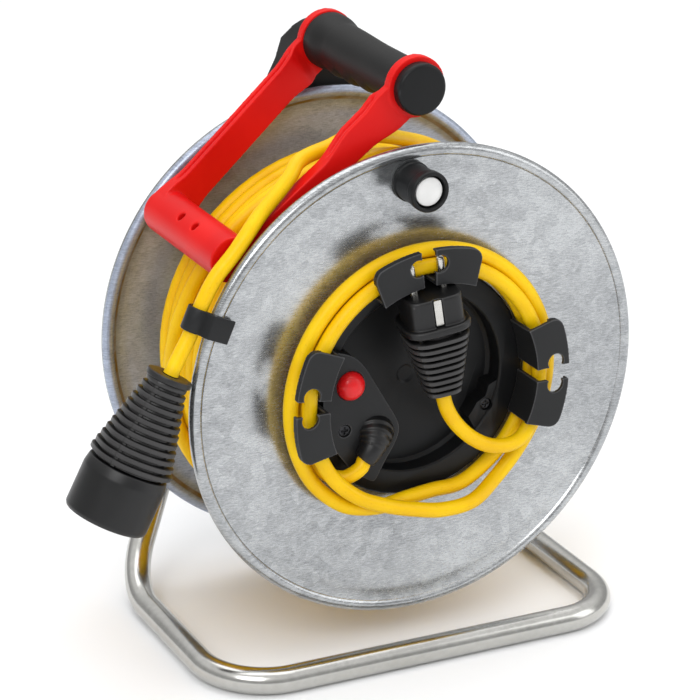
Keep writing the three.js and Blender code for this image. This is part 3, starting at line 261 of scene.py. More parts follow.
sheetSettings = {
    "metal": 0.85, "dark": (0.24, 0.25, 0.26), "light": (0.54, 0.555, 0.565), "smooth": 0.20, "rough": 0.32,
    "crystalScale": 150.0, "crystalWarp": 0.004, "crystalShare": 0.20, "streakScale": 260.0,
    # The drift's share in the tone sets the painted reflection patches on the sheet.
    "streakStretch": (1.0, 1.0, 7.0), "speckleScale": 1100.0, "driftScale": 9.0, "paintedReflectionShare": 1.0,
    "toneRange": (0.95, 1.65), "markDepth": 0.012,
}
looks = {
    "galvanised": galvanisedLook("galvanisedSheet", sheetSettings),
    # A bluer, less metallic copy of the sheet for the faces towards the cable: its blue is painted against the yellow
    # light the cable bounces onto them.
    "rearSheetTintedAgainstBounce": galvanisedLook("galvanisedRearSheetTintedAgainstBounce", {
        **sheetSettings, "metal": 0.55, "dark": (0.24, 0.27, 0.34), "light": (0.48, 0.54, 0.66),
        "smooth": 0.30, "rough": 0.42, "brownLine": (135.6, 138.8), "brownLineColour": (0.24, 0.15, 0.04)}),
    "brightTube": platedLook("brightDrawnTube", {
        "metal": 1.0, "dark": (0.47, 0.465, 0.44), "light": (0.59, 0.585, 0.56), "smooth": 0.17, "rough": 0.25,
        "driftScale": 14.0, "scratchScale": 260.0, "scratchStretch": (1.0, 1.0, 1.0), "scratchDepth": 0.0015}),
    "zinc": platedLook("zincPlating", {
        "metal": 1.0, "dark": (0.50, 0.51, 0.52), "light": (0.68, 0.69, 0.70), "smooth": 0.26, "rough": 0.42,
        "driftScale": 60.0, "scratchScale": 500.0, "scratchStretch": (4.0, 1.0, 1.0), "scratchDepth": 0.01}),
    "darkSteel": platedLook("nearBlackSteel", {
        "metal": 1.0, "dark": (0.015, 0.015, 0.016), "light": (0.06, 0.06, 0.064), "smooth": 0.22, "rough": 0.36,
        "driftScale": 90.0, "scratchScale": 600.0, "scratchStretch": (1.0, 1.0, 4.0), "scratchDepth": 0.01}),
    "nickel": platedLook("nickelPlating", {
        "metal": 1.0, "dark": (0.48, 0.47, 0.44), "light": (0.62, 0.61, 0.58), "smooth": 0.20, "rough": 0.32,
        "driftScale": 60.0, "scratchScale": 700.0, "scratchStretch": (1.0, 1.0, 5.0), "scratchDepth": 0.005}),
    # Each moulded look's edge colour is a painted highlight on its bevelled edges.
    "blackPlastic": mouldedLook("blackMouldedPlastic", {
        "dark": (0.005, 0.0053, 0.0058), "light": (0.008, 0.0084, 0.009), "edgeHighlight": (0.03, 0.031, 0.033),
        "specular": 0.22, "smooth": 0.32, "rough": 0.46, "driftScale": 25.0, "grainScale": 1500.0, "grainDepth": 0.02}),
    "greyPlastic": mouldedLook("charcoalMouldedPlastic", {
        "dark": (0.0105, 0.0108, 0.0114), "light": (0.0155, 0.016, 0.0168), "edgeHighlight": (0.16, 0.16, 0.168),
        "specular": 0.25, "smooth": 0.34, "rough": 0.48, "driftScale": 25.0, "grainScale": 1500.0, "grainDepth": 0.02}),
    "gripPlastic": mouldedLook("gripMouldedPlastic", {
        "dark": (0.009, 0.009, 0.009), "light": (0.014, 0.0138, 0.0135), "edgeHighlight": (0.03, 0.03, 0.03),
        "specular": 0.25, "smooth": 0.42, "rough": 0.58, "driftScale": 25.0, "grainScale": 1100.0, "grainDepth": 0.03}),
    "blackRubber": mouldedLook("blackRubber", {
        "dark": (0.005, 0.005, 0.0053), "light": (0.009, 0.009, 0.0094), "edgeHighlight": (0.07, 0.068, 0.068),
        "specular": 0.38, "smooth": 0.31, "rough": 0.46, "driftScale": 30.0, "grainScale": 1300.0, "grainDepth": 0.025}),
    "redPlastic": mouldedLook("redMouldedPlastic", {
        "dark": (0.60, 0.003, 0.004), "light": (0.74, 0.008, 0.006), "edgeHighlight": (0.85, 0.06, 0.04), "edgeHighlightShare": 0.2,
        "specular": 0.18, "smooth": 0.32, "rough": 0.44, "driftScale": 18.0, "grainScale": 1200.0, "grainDepth": 0.012}),
    "redButton": mouldedLook("redButtonPlastic", {
        "dark": (0.66, 0.006, 0.010), "light": (0.76, 0.012, 0.014), "edgeHighlight": (0.8, 0.06, 0.05), "edgeHighlightShare": 0.1,
        "specular": 0.4, "smooth": 0.26, "rough": 0.36, "driftScale": 60.0, "grainScale": 1200.0, "grainDepth": 0.006}),
    "whitePlastic": mouldedLook("whiteMouldedPlastic", {
        "dark": (0.66, 0.66, 0.65), "light": (0.74, 0.74, 0.73), "edgeHighlight": (0.78, 0.78, 0.78), "edgeHighlightShare": 0.1,
        "smooth": 0.26, "rough": 0.36, "driftScale": 80.0, "grainScale": 1500.0, "grainDepth": 0.005}),
    "yellowSheath": sheathLook("yellowCableSheath", {
        "dark": (0.80, 0.46, 0.001), "light": (0.90, 0.58, 0.002), "grime": 0.25, "grimeColour": (0.42, 0.22, 0.005),
        "specular": 0.22, "smooth": 0.34, "rough": 0.48, "driftScale": 35.0, "markScale": 500.0, "markDepth": 0.03,
        "waxy": 0.04, "waxRadius": (1.0, 0.5, 0.05)}),
}
print("stage: materials made")


# ---- making and placing meshes

def polar(radius, degrees, y=0.0):
    angle = math.radians(degrees)
    return Vector((radius * math.cos(angle), y, radius * math.sin(angle)))


# Local +Y goes along the heading, and local +Z looks to the front.
def aimed(place, heading):
    along = Vector(heading).normalized()
    forward = Vector((0, -1, 0))
    frontSide = (forward - along * forward.dot(along)).normalized()
    across = along.cross(frontSide)
    turn = Matrix((across, along, frontSide)).transposed().to_4x4()
    return toFrame @ Matrix.Translation(place) @ turn


def shaded(mesh, sharp):
    shape = bmesh.new()
    shape.from_mesh(mesh)
    for face in shape.faces:
        face.smooth = True
    for edge in shape.edges:
        edge.smooth = len(edge.link_faces) != 2 or edge.calc_face_angle(0) < math.radians(sharp)
    shape.to_mesh(mesh)
    shape.free()


def meshOf(name, verts, faces, matrix=toFrame, sharp=35):
    mesh = bpy.data.meshes.new(name)
    mesh.from_pydata([matrix @ Vector(v) for v in verts], [], faces)
    shape = bmesh.new()
    shape.from_mesh(mesh)
    bmesh.ops.remove_doubles(shape, verts=shape.verts, dist=1e-7)
    bmesh.ops.recalc_face_normals(shape, faces=shape.faces)
    shape.to_mesh(mesh)
    shape.free()
    shaded(mesh, sharp)
    return mesh


def joinedMesh(name, meshes):
    shape = bmesh.new()
    for mesh in meshes:
        shape.from_mesh(mesh)
    joined = bpy.data.meshes.new(name)
    shape.to_mesh(joined)
    shape.free()
    return joined


def placed(name, data, look, body, replaced=()):
    piece = bpy.data.objects.new(name, data)
    scene.collection.objects.link(piece)
    data.materials.clear()
    data.materials.append(looks[look])
    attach(piece, body)
    if replaced:
        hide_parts(*replaced)
    return piece


def settled(piece):
    depsgraph = bpy.context.evaluated_depsgraph_get()
    finished = bpy.data.meshes.new_from_object(piece.evaluated_get(depsgraph))
    piece.modifiers.clear()
    piece.data = finished
    return piece


# Corners of a 2D outline turned to short curves that start so far before and after them.
def filleted(outline, reach, steps=4, loop=False):
    rounded = []
    count = len(outline)
    for i, point in enumerate(outline):
        corner = Vector(point)
        if not loop and i in (0, count - 1):
            rounded.append(corner)
            continue
        before = Vector(outline[i - 1]) - corner
        after = Vector(outline[(i + 1) % count]) - corner
        size = min(reach, 0.45 * before.length, 0.45 * after.length)
        start = corner + before.normalized() * size
        end = corner + after.normalized() * size
        for k in range(steps + 1):
            t = k / steps
            rounded.append(start * (1 - t) ** 2 + corner * 2 * t * (1 - t) + end * t * t)
    return [(point[0], point[1]) for point in rounded]


# A profile of (radius, along) points turned about local Y. It ends on the axis or closes on itself.
def lathe(name, profile, matrix=toFrame, segments=96, sharp=35):
    verts, rings, faces = [], [], []
    for radius, along in profile:
        first = len(verts)
        if radius < 1e-6:
            verts.append((0, along, 0))
            rings.append([first] * segments)
            continue
        for i in range(segments):
            angle = 2 * math.pi * i / segments
            verts.append((radius * math.cos(angle), along, radius * math.sin(angle)))
        rings.append(list(range(first, first + segments)))
    pairs = list(zip(rings, rings[1:]))
    if profile[0][0] > 1e-6:
        pairs.append((rings[-1], rings[0]))
    for low, high in pairs:
        for i in range(segments):
            j = (i + 1) % segments
            corners = []
            for vertex in (low[i], high[i], high[j], low[j]):
                if vertex not in corners:
                    corners.append(vertex)
            if len(corners) > 2:
                faces.append(corners)
    return meshOf(name, verts, faces, matrix, sharp)


# Closed shells made one skin with soft moulded corners.
def moulded(piece, voxel, rounds):
    skin = piece.modifiers.new("skin", "REMESH")
    skin.mode = "VOXEL"
    skin.voxel_size = voxel * 0.001
    skin.use_smooth_shade = True
    soften = piece.modifiers.new("soften", "SMOOTH")
    soften.factor = 0.5
    soften.iterations = rounds
    return settled(piece)


# A flat outline in x and z, given its thickness along y.
def slabMesh(name, outline, front, back, matrix=toFrame):
    count = len(outline)
    verts = [(x, y, z) for y in (front, back) for x, z in outline]
    faces = [tuple(range(count)), tuple(range(2 * count - 1, count - 1, -1))]
    faces += [(i, (i + 1) % count, count + (i + 1) % count, count + i) for i in range(count)]
    return meshOf(name, verts, faces, matrix)


def cutAway(name, mesh, tool):
    holder, cutter = bpy.data.objects.new(name, mesh), bpy.data.objects.new(name + "Tool", tool)
    for piece in (holder, cutter):
        scene.collection.objects.link(piece)
    cut = holder.modifiers.new("cut", "BOOLEAN")
    cut.operation = "DIFFERENCE"
    cut.object = cutter
    depsgraph = bpy.context.evaluated_depsgraph_get()
    result = bpy.data.meshes.new_from_object(holder.evaluated_get(depsgraph))
    for piece in (holder, cutter):
        bpy.data.objects.remove(piece)
    return result


# A merged copy of a CAD node with its edges rounded, for moulded and pressed pieces.
def dressed(node, look, width, segments=2, name=None):
    body = frame["record"]["behaviour"]["bodies"]
    owner = next(key for key, members in body.items() if node in members)
    mesh = cadNodes[node].data.copy()
    mesh.name = name or node
    shape = bmesh.new()
    shape.from_mesh(mesh)
    bmesh.ops.remove_doubles(shape, verts=shape.verts, dist=2e-6)
    bmesh.ops.dissolve_limit(shape, angle_limit=math.radians(1.2), verts=shape.verts, edges=shape.edges)
    shape.to_mesh(mesh)
    shape.free()
    for layer in [layer.name for layer in mesh.color_attributes]:
        mesh.color_attributes.remove(mesh.color_attributes[layer])
    piece = placed(name or node + "_dressed", mesh, look, owner, [node])
    for polygon in mesh.polygons:
        polygon.use_smooth = True
    bevel = piece.modifiers.new("edges", "BEVEL")
    bevel.width = width * 0.001
    bevel.segments = segments
    bevel.limit_method = "ANGLE"
    bevel.angle_limit = math.radians(32)
    bevel.harden_normals = True
    bevel.use_clamp_overlap = True
    settled(piece)
    return piece


# ---- cords

def between(a, b, c, d, t):
    ab, bc, cd = ((q - p).length ** 0.5 for p, q in ((a, b), (b, c), (c, d)))
    leave = ((b - a) / ab - (c - a) / (ab + bc) + (c - b) / bc) * bc
    reach = ((c - b) / bc - (d - b) / (bc + cd) + (d - c) / cd) * bc
    square = -3 * b + 3 * c - 2 * leave - reach
    cube = 2 * b - 2 * c + leave + reach
    return b + leave * t + square * t * t + cube * t ** 3


# A smooth line through chosen places. Its first and last legs stay straight.
def throughPlaces(places, step):
    stops = [Vector(place) for place in places]
    line = [stops[0]]
    for i in range(1, len(stops) - 2):
        count = max(1, round((stops[i + 1] - stops[i]).length / step))
        for k in range(count):
            line.append(between(stops[i - 1], stops[i], stops[i + 1], stops[i + 2], k / count))
    return line + stops[-2:]


def lengthOf(line):
    return sum((b - a).length for a, b in zip(line, line[1:])) * 0.001


def cordPiece(name, line, radius, body, replaced):
    curve = bpy.data.curves.new(name, "CURVE")
    curve.dimensions = "3D"
    curve.bevel_depth = radius * 0.001
    curve.bevel_resolution = 6
    curve.use_fill_caps = True
    spline = curve.splines.new("POLY")
    spline.points.add(len(line) - 1)
    for point, place in zip(spline.points, line):
        point.co = (*(toFrame @ place), 1)
    spline.use_smooth = True
    return placed(name, curve, "yellowSheath", body, replaced)


leadRoute = {
    "inner": 75.6,               # radius of the first turn
    "outer": 83.8,               # and of the second
    "onDisc": 1.9, "beside": -2.9, "over": -7.8, "crossing": -10.8,   # y of each stage
    "easing": 1.6, "rise": 1.2,
    "startAngle": 203.0, "wound": 930.0,
    "cutIn": 8.5, "lift": 2.8,   # at the bottom the turns cut in over the hub ring
}
relief = {"start": Vector((-27, 0.4, -23.4)), "end": Vector((-38, -6, -38.8)), "base": 10.5, "tip": 6.6}
reliefHeading = (relief["end"] - relief["start"]).normalized()
plugTail = Vector((6.8, -14.6, 1))
plugHeading = Vector((-0.18, 0, 0.984)).normalized()
couplerEntry = Vector((-156.3, 4, 28.6))
couplerHeading = Vector((-0.442, 0, -0.897)).normalized()


def ramp(value, low, high):
    t = min(1.0, max(0.0, (value - low) / (high - low)))
    return t * t * (3 - 2 * t)


def leadPlace(wound):
    route = leadRoute
    angle = route["startAngle"] - wound
    stepOut = ramp(wound, 280, 325)
    climb = ramp(wound, 603, 640)
    stepBack = ramp(wound, 640, 700)
    settle = ramp(wound, 705, 745)
    fromBottom = (angle - 263 + 180) % 360 - 180
    inwards = route["cutIn"] * math.cos(math.radians(fromBottom * 2)) ** 2 if abs(fromBottom) < 45 else 0.0
    swing = route["easing"] * (ramp(wound, 300, 340) - ramp(wound, 362, 420))
    radius = route["inner"] + (route["outer"] - route["inner"]) * (stepOut - stepBack) + swing - inwards
    lift = route["lift"] * ramp(inwards, 0, 2) + route["rise"] * ramp(wound, 860, 925)
    y = (route["onDisc"] + (route["beside"] - route["onDisc"]) * stepOut
         + (route["crossing"] - route["beside"]) * climb + (route["over"] - route["crossing"]) * settle)
    return polar(radius, angle, y - lift)


def makeLead():
    wound = leadRoute["wound"]
    count = round(wound / 15)
    coil = [leadPlace(wound * i / count) for i in range(count + 1)]
    startRun = (coil[0] - leadPlace(5)).normalized()
    endRun = (coil[-1] - leadPlace(wound - 5)).normalized()
    first = coil[0] + startRun * 2 * cableRadius
    last = coil[-1] + endRun * 2 * cableRadius
    places = [
        relief["end"] + reliefHeading * seat, relief["end"] + reliefHeading * 5, (-50, -4.6, -49),
        (-57.4, -1.2, -47.9), (-62.6, 0.4, -44.2), first + startRun * 3, first, *coil, last, last + endRun * 3,
        (72.6, -9, -25.6), (69, -10, -34.8), (63, -11.4, -40.4), (55, -12.8, -42.4), (41, -14.2, -40.2),
        (28.2, -14.6, -33), (17.4, -14.6, -22.6), (10.7, -14.6, -12.2),
        plugTail - plugHeading * 4, plugTail - plugHeading * seat,
    ]
    line = throughPlaces(places, 3)
    return cordPiece("plugLead", line, cableRadius, "drum", ["lead_start", "lead_coil", "lead_end"]), line


windingSettings = {
    "radius": 111.5, "endAngle": -30.0, "pitch": 9.5, "turns": 12, "start": 11.5,
    "overRadius": 120.6,         # the last turns lie across the layer below
    "wander": 0.35,              # how far the turns stray from even spacing
    "steps": 72,
}
# Turns wound, y and how far up onto the layer below, from the drum's front to the end.
windingStages = [
    (0.0, 11.5, 0), (11.0, 115.9, 0), (11.1, 111.5, 1), (11.28, 70.0, 1), (11.55, 33.0, 1), (11.75, 31.0, 1),
    (12.0, 42.0, 1), (12.2, 57.0, 1), (12.36, 66.0, 1), (12.55, 82.0, 1), (12.75, 108.0, 1), (12.86, 123.6, 1),
    (12.97, 125.3, 0), (13.0, 125.5, 0),
]


def stageAt(turns):
    stages = windingStages
    i = max(k for k in range(len(stages) - 1) if stages[k][0] <= turns)
    (fromTurns, fromY, fromUp), (toTurns, toY, toUp) = stages[i], stages[i + 1]
    t = (turns - fromTurns) / (toTurns - fromTurns)
    if i == 0:
        return fromY + (toY - fromY) * t, 0.0

    def slope(k):
        if k in (0, len(stages) - 1):
            return 9.5
        return (stages[k + 1][1] - stages[k - 1][1]) / (stages[k + 1][0] - stages[k - 1][0])

    span = toTurns - fromTurns
    a, b = slope(i) * span, slope(i + 1) * span
    y = fromY + a * t + (3 * (toY - fromY) - 2 * a - b) * t * t + (a + b - 2 * (toY - fromY)) * t ** 3
    return y, fromUp + (toUp - fromUp) * t * t * (3 - 2 * t)


def windingLine():
    settings = windingSettings
    total = windingStages[-1][0]
    count = round(total * settings["steps"])
    line = []
    for i in range(count + 1):
        turns = total * i / count
        angle = settings["endAngle"] + 360 * turns
        y, up = stageAt(turns)
        calm = min(1.0, 6 * (total - turns), 6 * turns)
        stray = settings["wander"] * calm
        y += stray * noise.noise(polar(1.6, angle, 0.45 * turns))
        radius = settings["radius"] + (settings["overRadius"] - settings["radius"]) * up
        radius += 0.5 * stray * (1 + noise.noise(polar(2.2, angle, 7 + 0.8 * turns)))
        line.append(polar(radius, angle, y))
    along = math.degrees(2 * cableRadius / settings["radius"])
    ends = []
    for angle, turnsLow, sign in ((settings["endAngle"], 0, -1), (settings["endAngle"], settings["turns"], 1)):
        y = settings["start"] + settings["pitch"] * turnsLow
        here = polar(settings["radius"], angle, y)
        beside = polar(settings["radius"], angle - sign * along, y - sign * settings["pitch"] * along / 360)
        run = (here - beside).normalized()
        ends.append((here + run * 2 * cableRadius, run))
    return [ends[0][0], *line, ends[1][0]], ends[1]


gripHeight = 174.5
guideBar = {"x": -113.0, "z": 86.0, "radius": 13.5}
armRun = math.hypot(guideBar["x"], guideBar["z"] - gripHeight)
armDown = Vector((guideBar["x"] / armRun, 0, (guideBar["z"] - gripHeight) / armRun))
armOut = Vector((armDown.z, 0, -armDown.x))
rimClip = {"angle": 157.6, "orbit": 150.0, "y": 9.2}


def armPlace(down, out, y):
    return armDown * down + armOut * out + Vector((0, y, gripHeight))


def inRimClip(past):
    return polar(rimClip["orbit"], rimClip["angle"], rimClip["y"]) + polar(1, rimClip["angle"] + 90) * past


def makeFreeCord(end, run):
    overArm = [(45, -5, 37), (58, 0, 36), (68, 5, 34.6), (78, 10, 29.5), (88, 9.9, 24), (101, 9.9, 20),
               (115, 9.8, 16.4), (128, 9, 12), (141, 6.4, 10.6)]
    places = [
        end + run * seat, end + run * 8, (119, 124.5, -10.4), (120.6, 122.6, 10), (118.4, 119, 28),
        (108.6, 112.5, 55), (90.6, 102, 82), (65.4, 91, 105), (43, 81, 118), (19, 67.5, 128), (-6, 52, 137),
        *[armPlace(*place) for place in overArm], (-127, 9.6, 79.8), inRimClip(-9), inRimClip(9),
        (-149.6, 6.8, 38), couplerEntry - couplerHeading * 3, couplerEntry - couplerHeading * seat,
    ]
    line = throughPlaces(places, 3)
    return cordPiece("freeCord", line, cableRadius, "stand", ["free_cord"]), line


# ---- geometry-node trees

def newTree(name, inputs):
    tree = bpy.data.node_groups.new(name, "GeometryNodeTree")
    keys = {}
    for label, kind in inputs:
        keys[label] = tree.interface.new_socket(label, in_out="INPUT", socket_type="NodeSocket" + kind).identifier
    tree.interface.new_socket("Geometry", in_out="OUTPUT", socket_type="NodeSocketGeometry")
    return tree, keys


class Builder:
    # Adds nodes to a geometry-node tree and joins them
    def __init__(self, tree):
        self.tree = tree
        self.start = tree.nodes.new("NodeGroupInput").outputs

    def add(self, kind, links=None, **values):
        node = self.tree.nodes.new(kind)
        for key, value in values.items():
            setattr(node, key, value)
        for key, value in (links or {}).items():
            target = node.inputs[key]
            if isinstance(value, bpy.types.NodeSocket):
                self.tree.links.new(value, target)
            else:
                target.default_value = value
        return node

    def close(self, geometry, material):
        real = self.add("GeometryNodeRealizeInstances", {"Geometry": geometry})
        shade = self.add("GeometryNodeSetShadeSmooth", {"Geometry": real.outputs[0]})
        painted = self.add("GeometryNodeSetMaterial", {"Geometry": shade.outputs[0], "Material": material})
        self.add("NodeGroupOutput", {"Geometry": painted.outputs[0]})


def grown(name, tree, keys, values, source=None):
    holder = bpy.data.objects.new(name, source or bpy.data.meshes.new(name))
    scene.collection.objects.link(holder)
    modifier = holder.modifiers.new(name, "NODES")
    modifier.node_group = tree
    for label, value in values.items():
        modifier[keys[label]] = value
    depsgraph = bpy.context.evaluated_depsgraph_get()
    mesh = bpy.data.meshes.new_from_object(holder.evaluated_get(depsgraph))
    bpy.data.objects.remove(holder)
    return mesh


# A round cord swept along the edges of a path, with a small random lift.
def cordTree():
    tree, keys = newTree("woundCord", [
        ("Geometry", "Geometry"), ("Radius", "Float"), ("Sides", "Int"), ("Lift", "Float"), ("Grain", "Float"),
        ("Seed", "Float"), ("Material", "Material")])
    build = Builder(tree)
    curve = build.add("GeometryNodeMeshToCurve", {"Mesh": build.start["Geometry"]})
    random = build.add("ShaderNodeTexNoise", {"Scale": build.start["Grain"], "W": build.start["Seed"]},
                       noise_dimensions="4D")
    centred = build.add("ShaderNodeVectorMath", {0: random.outputs["Color"], 1: (0.5, 0.5, 0.5)}, operation="SUBTRACT")
    offset = build.add("ShaderNodeVectorMath", {0: centred.outputs[0], "Scale": build.start["Lift"]}, operation="SCALE")
    moved = build.add("GeometryNodeSetPosition", {"Geometry": curve.outputs[0], "Offset": offset.outputs[0]})
    ring = build.add("GeometryNodeCurvePrimitiveCircle", {"Resolution": build.start["Sides"],
                                                          "Radius": build.start["Radius"]})
    tube = build.add("GeometryNodeCurveToMesh", {"Curve": moved.outputs[0], "Profile Curve": ring.outputs[0],
                                                 "Fill Caps": True})
    build.close(tube.outputs[0], build.start["Material"])
    return tree, keys


# Quarter ribs stacked along local Y on four sides, growing from the first radius to the last.
def ribTree():
    tree, keys = newTree("stackedRibs", [
        ("Rib", "Object"), ("Count", "Int"), ("Pitch", "Float"), ("First Radius", "Float"),
        ("Last Radius", "Float"), ("Material", "Material")])
    build = Builder(tree)
    rib = build.add("GeometryNodeObjectInfo", {"Object": build.start["Rib"]})
    step = build.add("ShaderNodeCombineXYZ", {"Y": build.start["Pitch"]})
    last = build.add("ShaderNodeMath", {0: build.start["Count"], 1: 1.0}, operation="SUBTRACT")
    index = build.add("GeometryNodeInputIndex")
    line = build.add("GeometryNodeMeshLine", {"Count": build.start["Count"], "Offset": step.outputs[0]})
    radius = build.add("ShaderNodeMapRange", {
        "Value": index.outputs[0], "From Max": last.outputs[0],
        "To Min": build.start["First Radius"], "To Max": build.start["Last Radius"]}, clamp=False)
    size = build.add("ShaderNodeCombineXYZ", {"X": radius.outputs[0], "Y": 1.0, "Z": radius.outputs[0]})
    together = build.add("GeometryNodeJoinGeometry")
    for side in range(4):
        copies = build.add("GeometryNodeInstanceOnPoints", {
            "Points": line.outputs["Mesh"], "Instance": rib.outputs["Geometry"],
            "Rotation": (0.0, math.pi / 2 * side, 0.0), "Scale": size.outputs[0]})
        tree.links.new(copies.outputs[0], together.inputs[0])
    build.close(together.outputs[0], build.start["Material"])
    return tree, keys


# One small part copied onto each point of a mesh.
def copyTree():
    tree, keys = newTree("copiesOnPoints", [("Geometry", "Geometry"), ("Part", "Object"), ("Turn", "Float"),
                                            ("Material", "Material")])
    build = Builder(tree)
    part = build.add("GeometryNodeObjectInfo", {"Object": build.start["Part"]})
    index = build.add("GeometryNodeInputIndex")
    angle = build.add("ShaderNodeMath", {0: index.outputs[0], 1: build.start["Turn"]}, operation="MULTIPLY")
    turn = build.add("ShaderNodeCombineXYZ", {"Y": angle.outputs[0]})
    copies = build.add("GeometryNodeInstanceOnPoints", {
        "Points": build.start["Geometry"], "Instance": part.outputs["Geometry"], "Rotation": turn.outputs[0]})
    build.close(copies.outputs[0], build.start["Material"])
    return tree, keys


def makeWinding():
    line, (end, run) = windingLine()
    path = bpy.data.meshes.new("windingPath")
    path.from_pydata([toFrame @ place for place in line], [(i, i + 1) for i in range(len(line) - 1)], [])
    tree, keys = cordTree()
    mesh = grown("cableWindingMesh", tree, keys, {
        "Radius": cableRadius * 0.001, "Sides": 16, "Lift": 0.00025, "Grain": 25.0, "Seed": 3.0,
        "Material": looks["yellowSheath"]}, path)
    placed("cableWinding", mesh, "yellowSheath", "drum", ["cable_winding"])
    return end, run, line


lowerLayer = {"radius": 101.1, "from": 9.4, "to": 127.9, "turns": 12.8, "steps": 48, "inside": 64.7}


# The layer below shows beside the last turns. Under it the lead is only a filled core.
def makeLowerLayer():
    s = lowerLayer
    first, last = s["from"] + cableRadius, s["to"] - cableRadius
    count = round(s["turns"] * s["steps"])
    line = [polar(s["radius"], 20 - 360 * s["turns"] * i / count, first + (last - first) * i / count)
            for i in range(count + 1)]
    path = bpy.data.meshes.new("lowerLayerPath")
    path.from_pydata([toFrame @ place for place in line], [(i, i + 1) for i in range(len(line) - 1)], [])
    tree, keys = cordTree()
    turns = grown("lowerLayerTurns", tree, keys, {
        "Radius": cableRadius * 0.001, "Sides": 12, "Lift": 0.0003, "Grain": 25.0, "Seed": 8.0,
        "Material": looks["yellowSheath"]}, path)
    core = lathe("lowerLayerCore", [(s["inside"], s["from"]), (s["radius"], s["from"]), (s["radius"], s["to"]),
                                    (s["inside"], s["to"])])
    placed("cableLowerLayer", joinedMesh("cableLowerLayerMesh", [turns, core]), "yellowSheath", "drum",
           ["cable_core"])


lead, leadLine = makeLead()
windingEnd, windingRun, woundLine = makeWinding()
freeCord, freeLine = makeFreeCord(windingEnd, windingRun)
makeLowerLayer()
print("stage: cords made, lead %.3f m, free end %.3f m, winding %.2f m"
      % (lengthOf(leadLine), lengthOf(freeLine), lengthOf(woundLine)))


# ---- drum

discShape = {"radius": 145.0, "bead": 3.8, "sheet": 1.3, "hubHole": 62.0, "segments": 240, "width": 137.3}


def discProfile():
    centre = discShape["radius"] - discShape["bead"]
    sheet = filleted([(62, 7.3), (76, 6.7), (104, 3.43), (129, 1.5), (135, 2.1)], 7, 6)
    bead = []
    for i in range(25):
        angle = math.radians(212 + 276 * i / 24)
        bead.append((centre + discShape["bead"] * math.cos(angle), discShape["bead"] * (1 + math.sin(angle))))
    back = [(radius, y + discShape["sheet"]) for radius, y in reversed(sheet)]
    return [*sheet, *bead, *back]


def makeDiscs():
    profile = discProfile()
    front = lathe("frontDiscMesh", profile, segments=discShape["segments"], sharp=40)
    placed("frontDisc", front, "galvanised", "drum", ["front_disc"])
    rear = lathe("rearDiscMesh", [(radius, discShape["width"] - y) for radius, y in profile],
                 segments=discShape["segments"], sharp=40)
    disc = placed("rearDisc", rear, "galvanised", "drum", ["rear_disc"])
    # The rear disc's faces towards the cable take the bluer copy, a painted correction against the cable's yellow
    # bounce light.
    disc.data.materials.append(looks["rearSheetTintedAgainstBounce"])
    for polygon in disc.data.polygons:
        polygon.material_index = 1 if polygon.normal.y < -0.25 else 0


makeDiscs()


def makeHub():
    dressed("hub_plate", "blackPlastic", 0.7, 3)
    dressed("cutout_switch", "blackPlastic", 0.3)
    dressed("rear_hub", "blackPlastic", 0.6)
    # The hub screws, listed as zinc, are given near-black steel.
    for side in ("left", "right"):
        dressed("hub_screw_" + side, "darkSteel", 0.25)
    dressed("rim_clip", "blackPlastic", 0.7, 3)


makeHub()

clipShape = {
    "angles": {"top": 95.3, "left": 176.8, "right": 1.1},
    "wall": 70.5, "reach": 89.5, "front": -20.0, "back": 3.9, "thickness": 2.6,
    "span": 24.0, "jaw": 9.4,    # degrees to a wing's far end, and the gap between two wings
    "notch": 5.2, "notchIn": 9.0, "notchAside": 2.8, "corner": 7.5,
    "voxel": 0.5,
}


# A wing's flange over the wound lead, its post on the hub ring and the lip at its edge.
def wingMesh(name, middle, side):
    s = clipShape
    start = math.degrees(s["jaw"] / 2 / s["reach"])
    inner = s["wall"] - s["thickness"]
    shoulder = s["span"] - math.degrees(s["corner"] / s["reach"])

    def spot(radius, degrees):
        place = polar(radius, middle + side * degrees)
        return (place.x, place.z)

    def arc(radius, first, last, steps=10):
        return [spot(radius, first + (last - first) * i / steps) for i in range(steps + 1)]

    def outerEdge(inset):
        edge = arc(s["reach"] - inset, start, shoulder)
        corner = s["corner"] - inset
        for i in range(1, 7):
            t = math.radians(15 * i)
            edge.append(spot(s["reach"] - s["corner"] + corner * math.cos(t),
                             shoulder + (s["span"] - shoulder) * corner / s["corner"] * math.sin(t)))
        return edge

    outline = outerEdge(0) + arc(inner, s["span"] + 1.5, start)
    along = Vector(spot(1, start))
    aside = Vector(spot(1, start + 90))
    centre = along * (s["reach"] - s["notchIn"]) + aside * s["notchAside"]
    open_ = math.degrees(math.asin(s["notchAside"] / s["notch"]))
    for i in range(19):
        t = math.radians(180 + open_ - (180 + 2 * open_) * i / 18)
        outline.append(tuple(centre + along * (s["notch"] * math.cos(t)) + aside * (s["notch"] * math.sin(t))))
    behind = s["front"] + s["thickness"]
    flange = slabMesh(name, outline, s["front"], behind)
    post = slabMesh(name, arc(s["wall"], start, s["span"] + 1) + arc(inner, s["span"] + 1, start),
                    s["front"] + 1, s["back"])
    lip = slabMesh(name, outerEdge(0) + outerEdge(1.8)[::-1], s["front"] + 1, behind + 2)
    return joinedMesh(name, [flange, post, lip])


def makeClips():
    for place, middle in clipShape["angles"].items():
        for letter, side in (("a", 1), ("b", -1)):
            mesh = wingMesh("cordClipMesh", middle, side)
            piece = placed("cordClip_%s_%s" % (place, letter), mesh, "greyPlastic", "drum",
                           ["cord_clip_%s_%s" % (place, letter)])
            moulded(piece, clipShape["voxel"], 3)


makeClips()

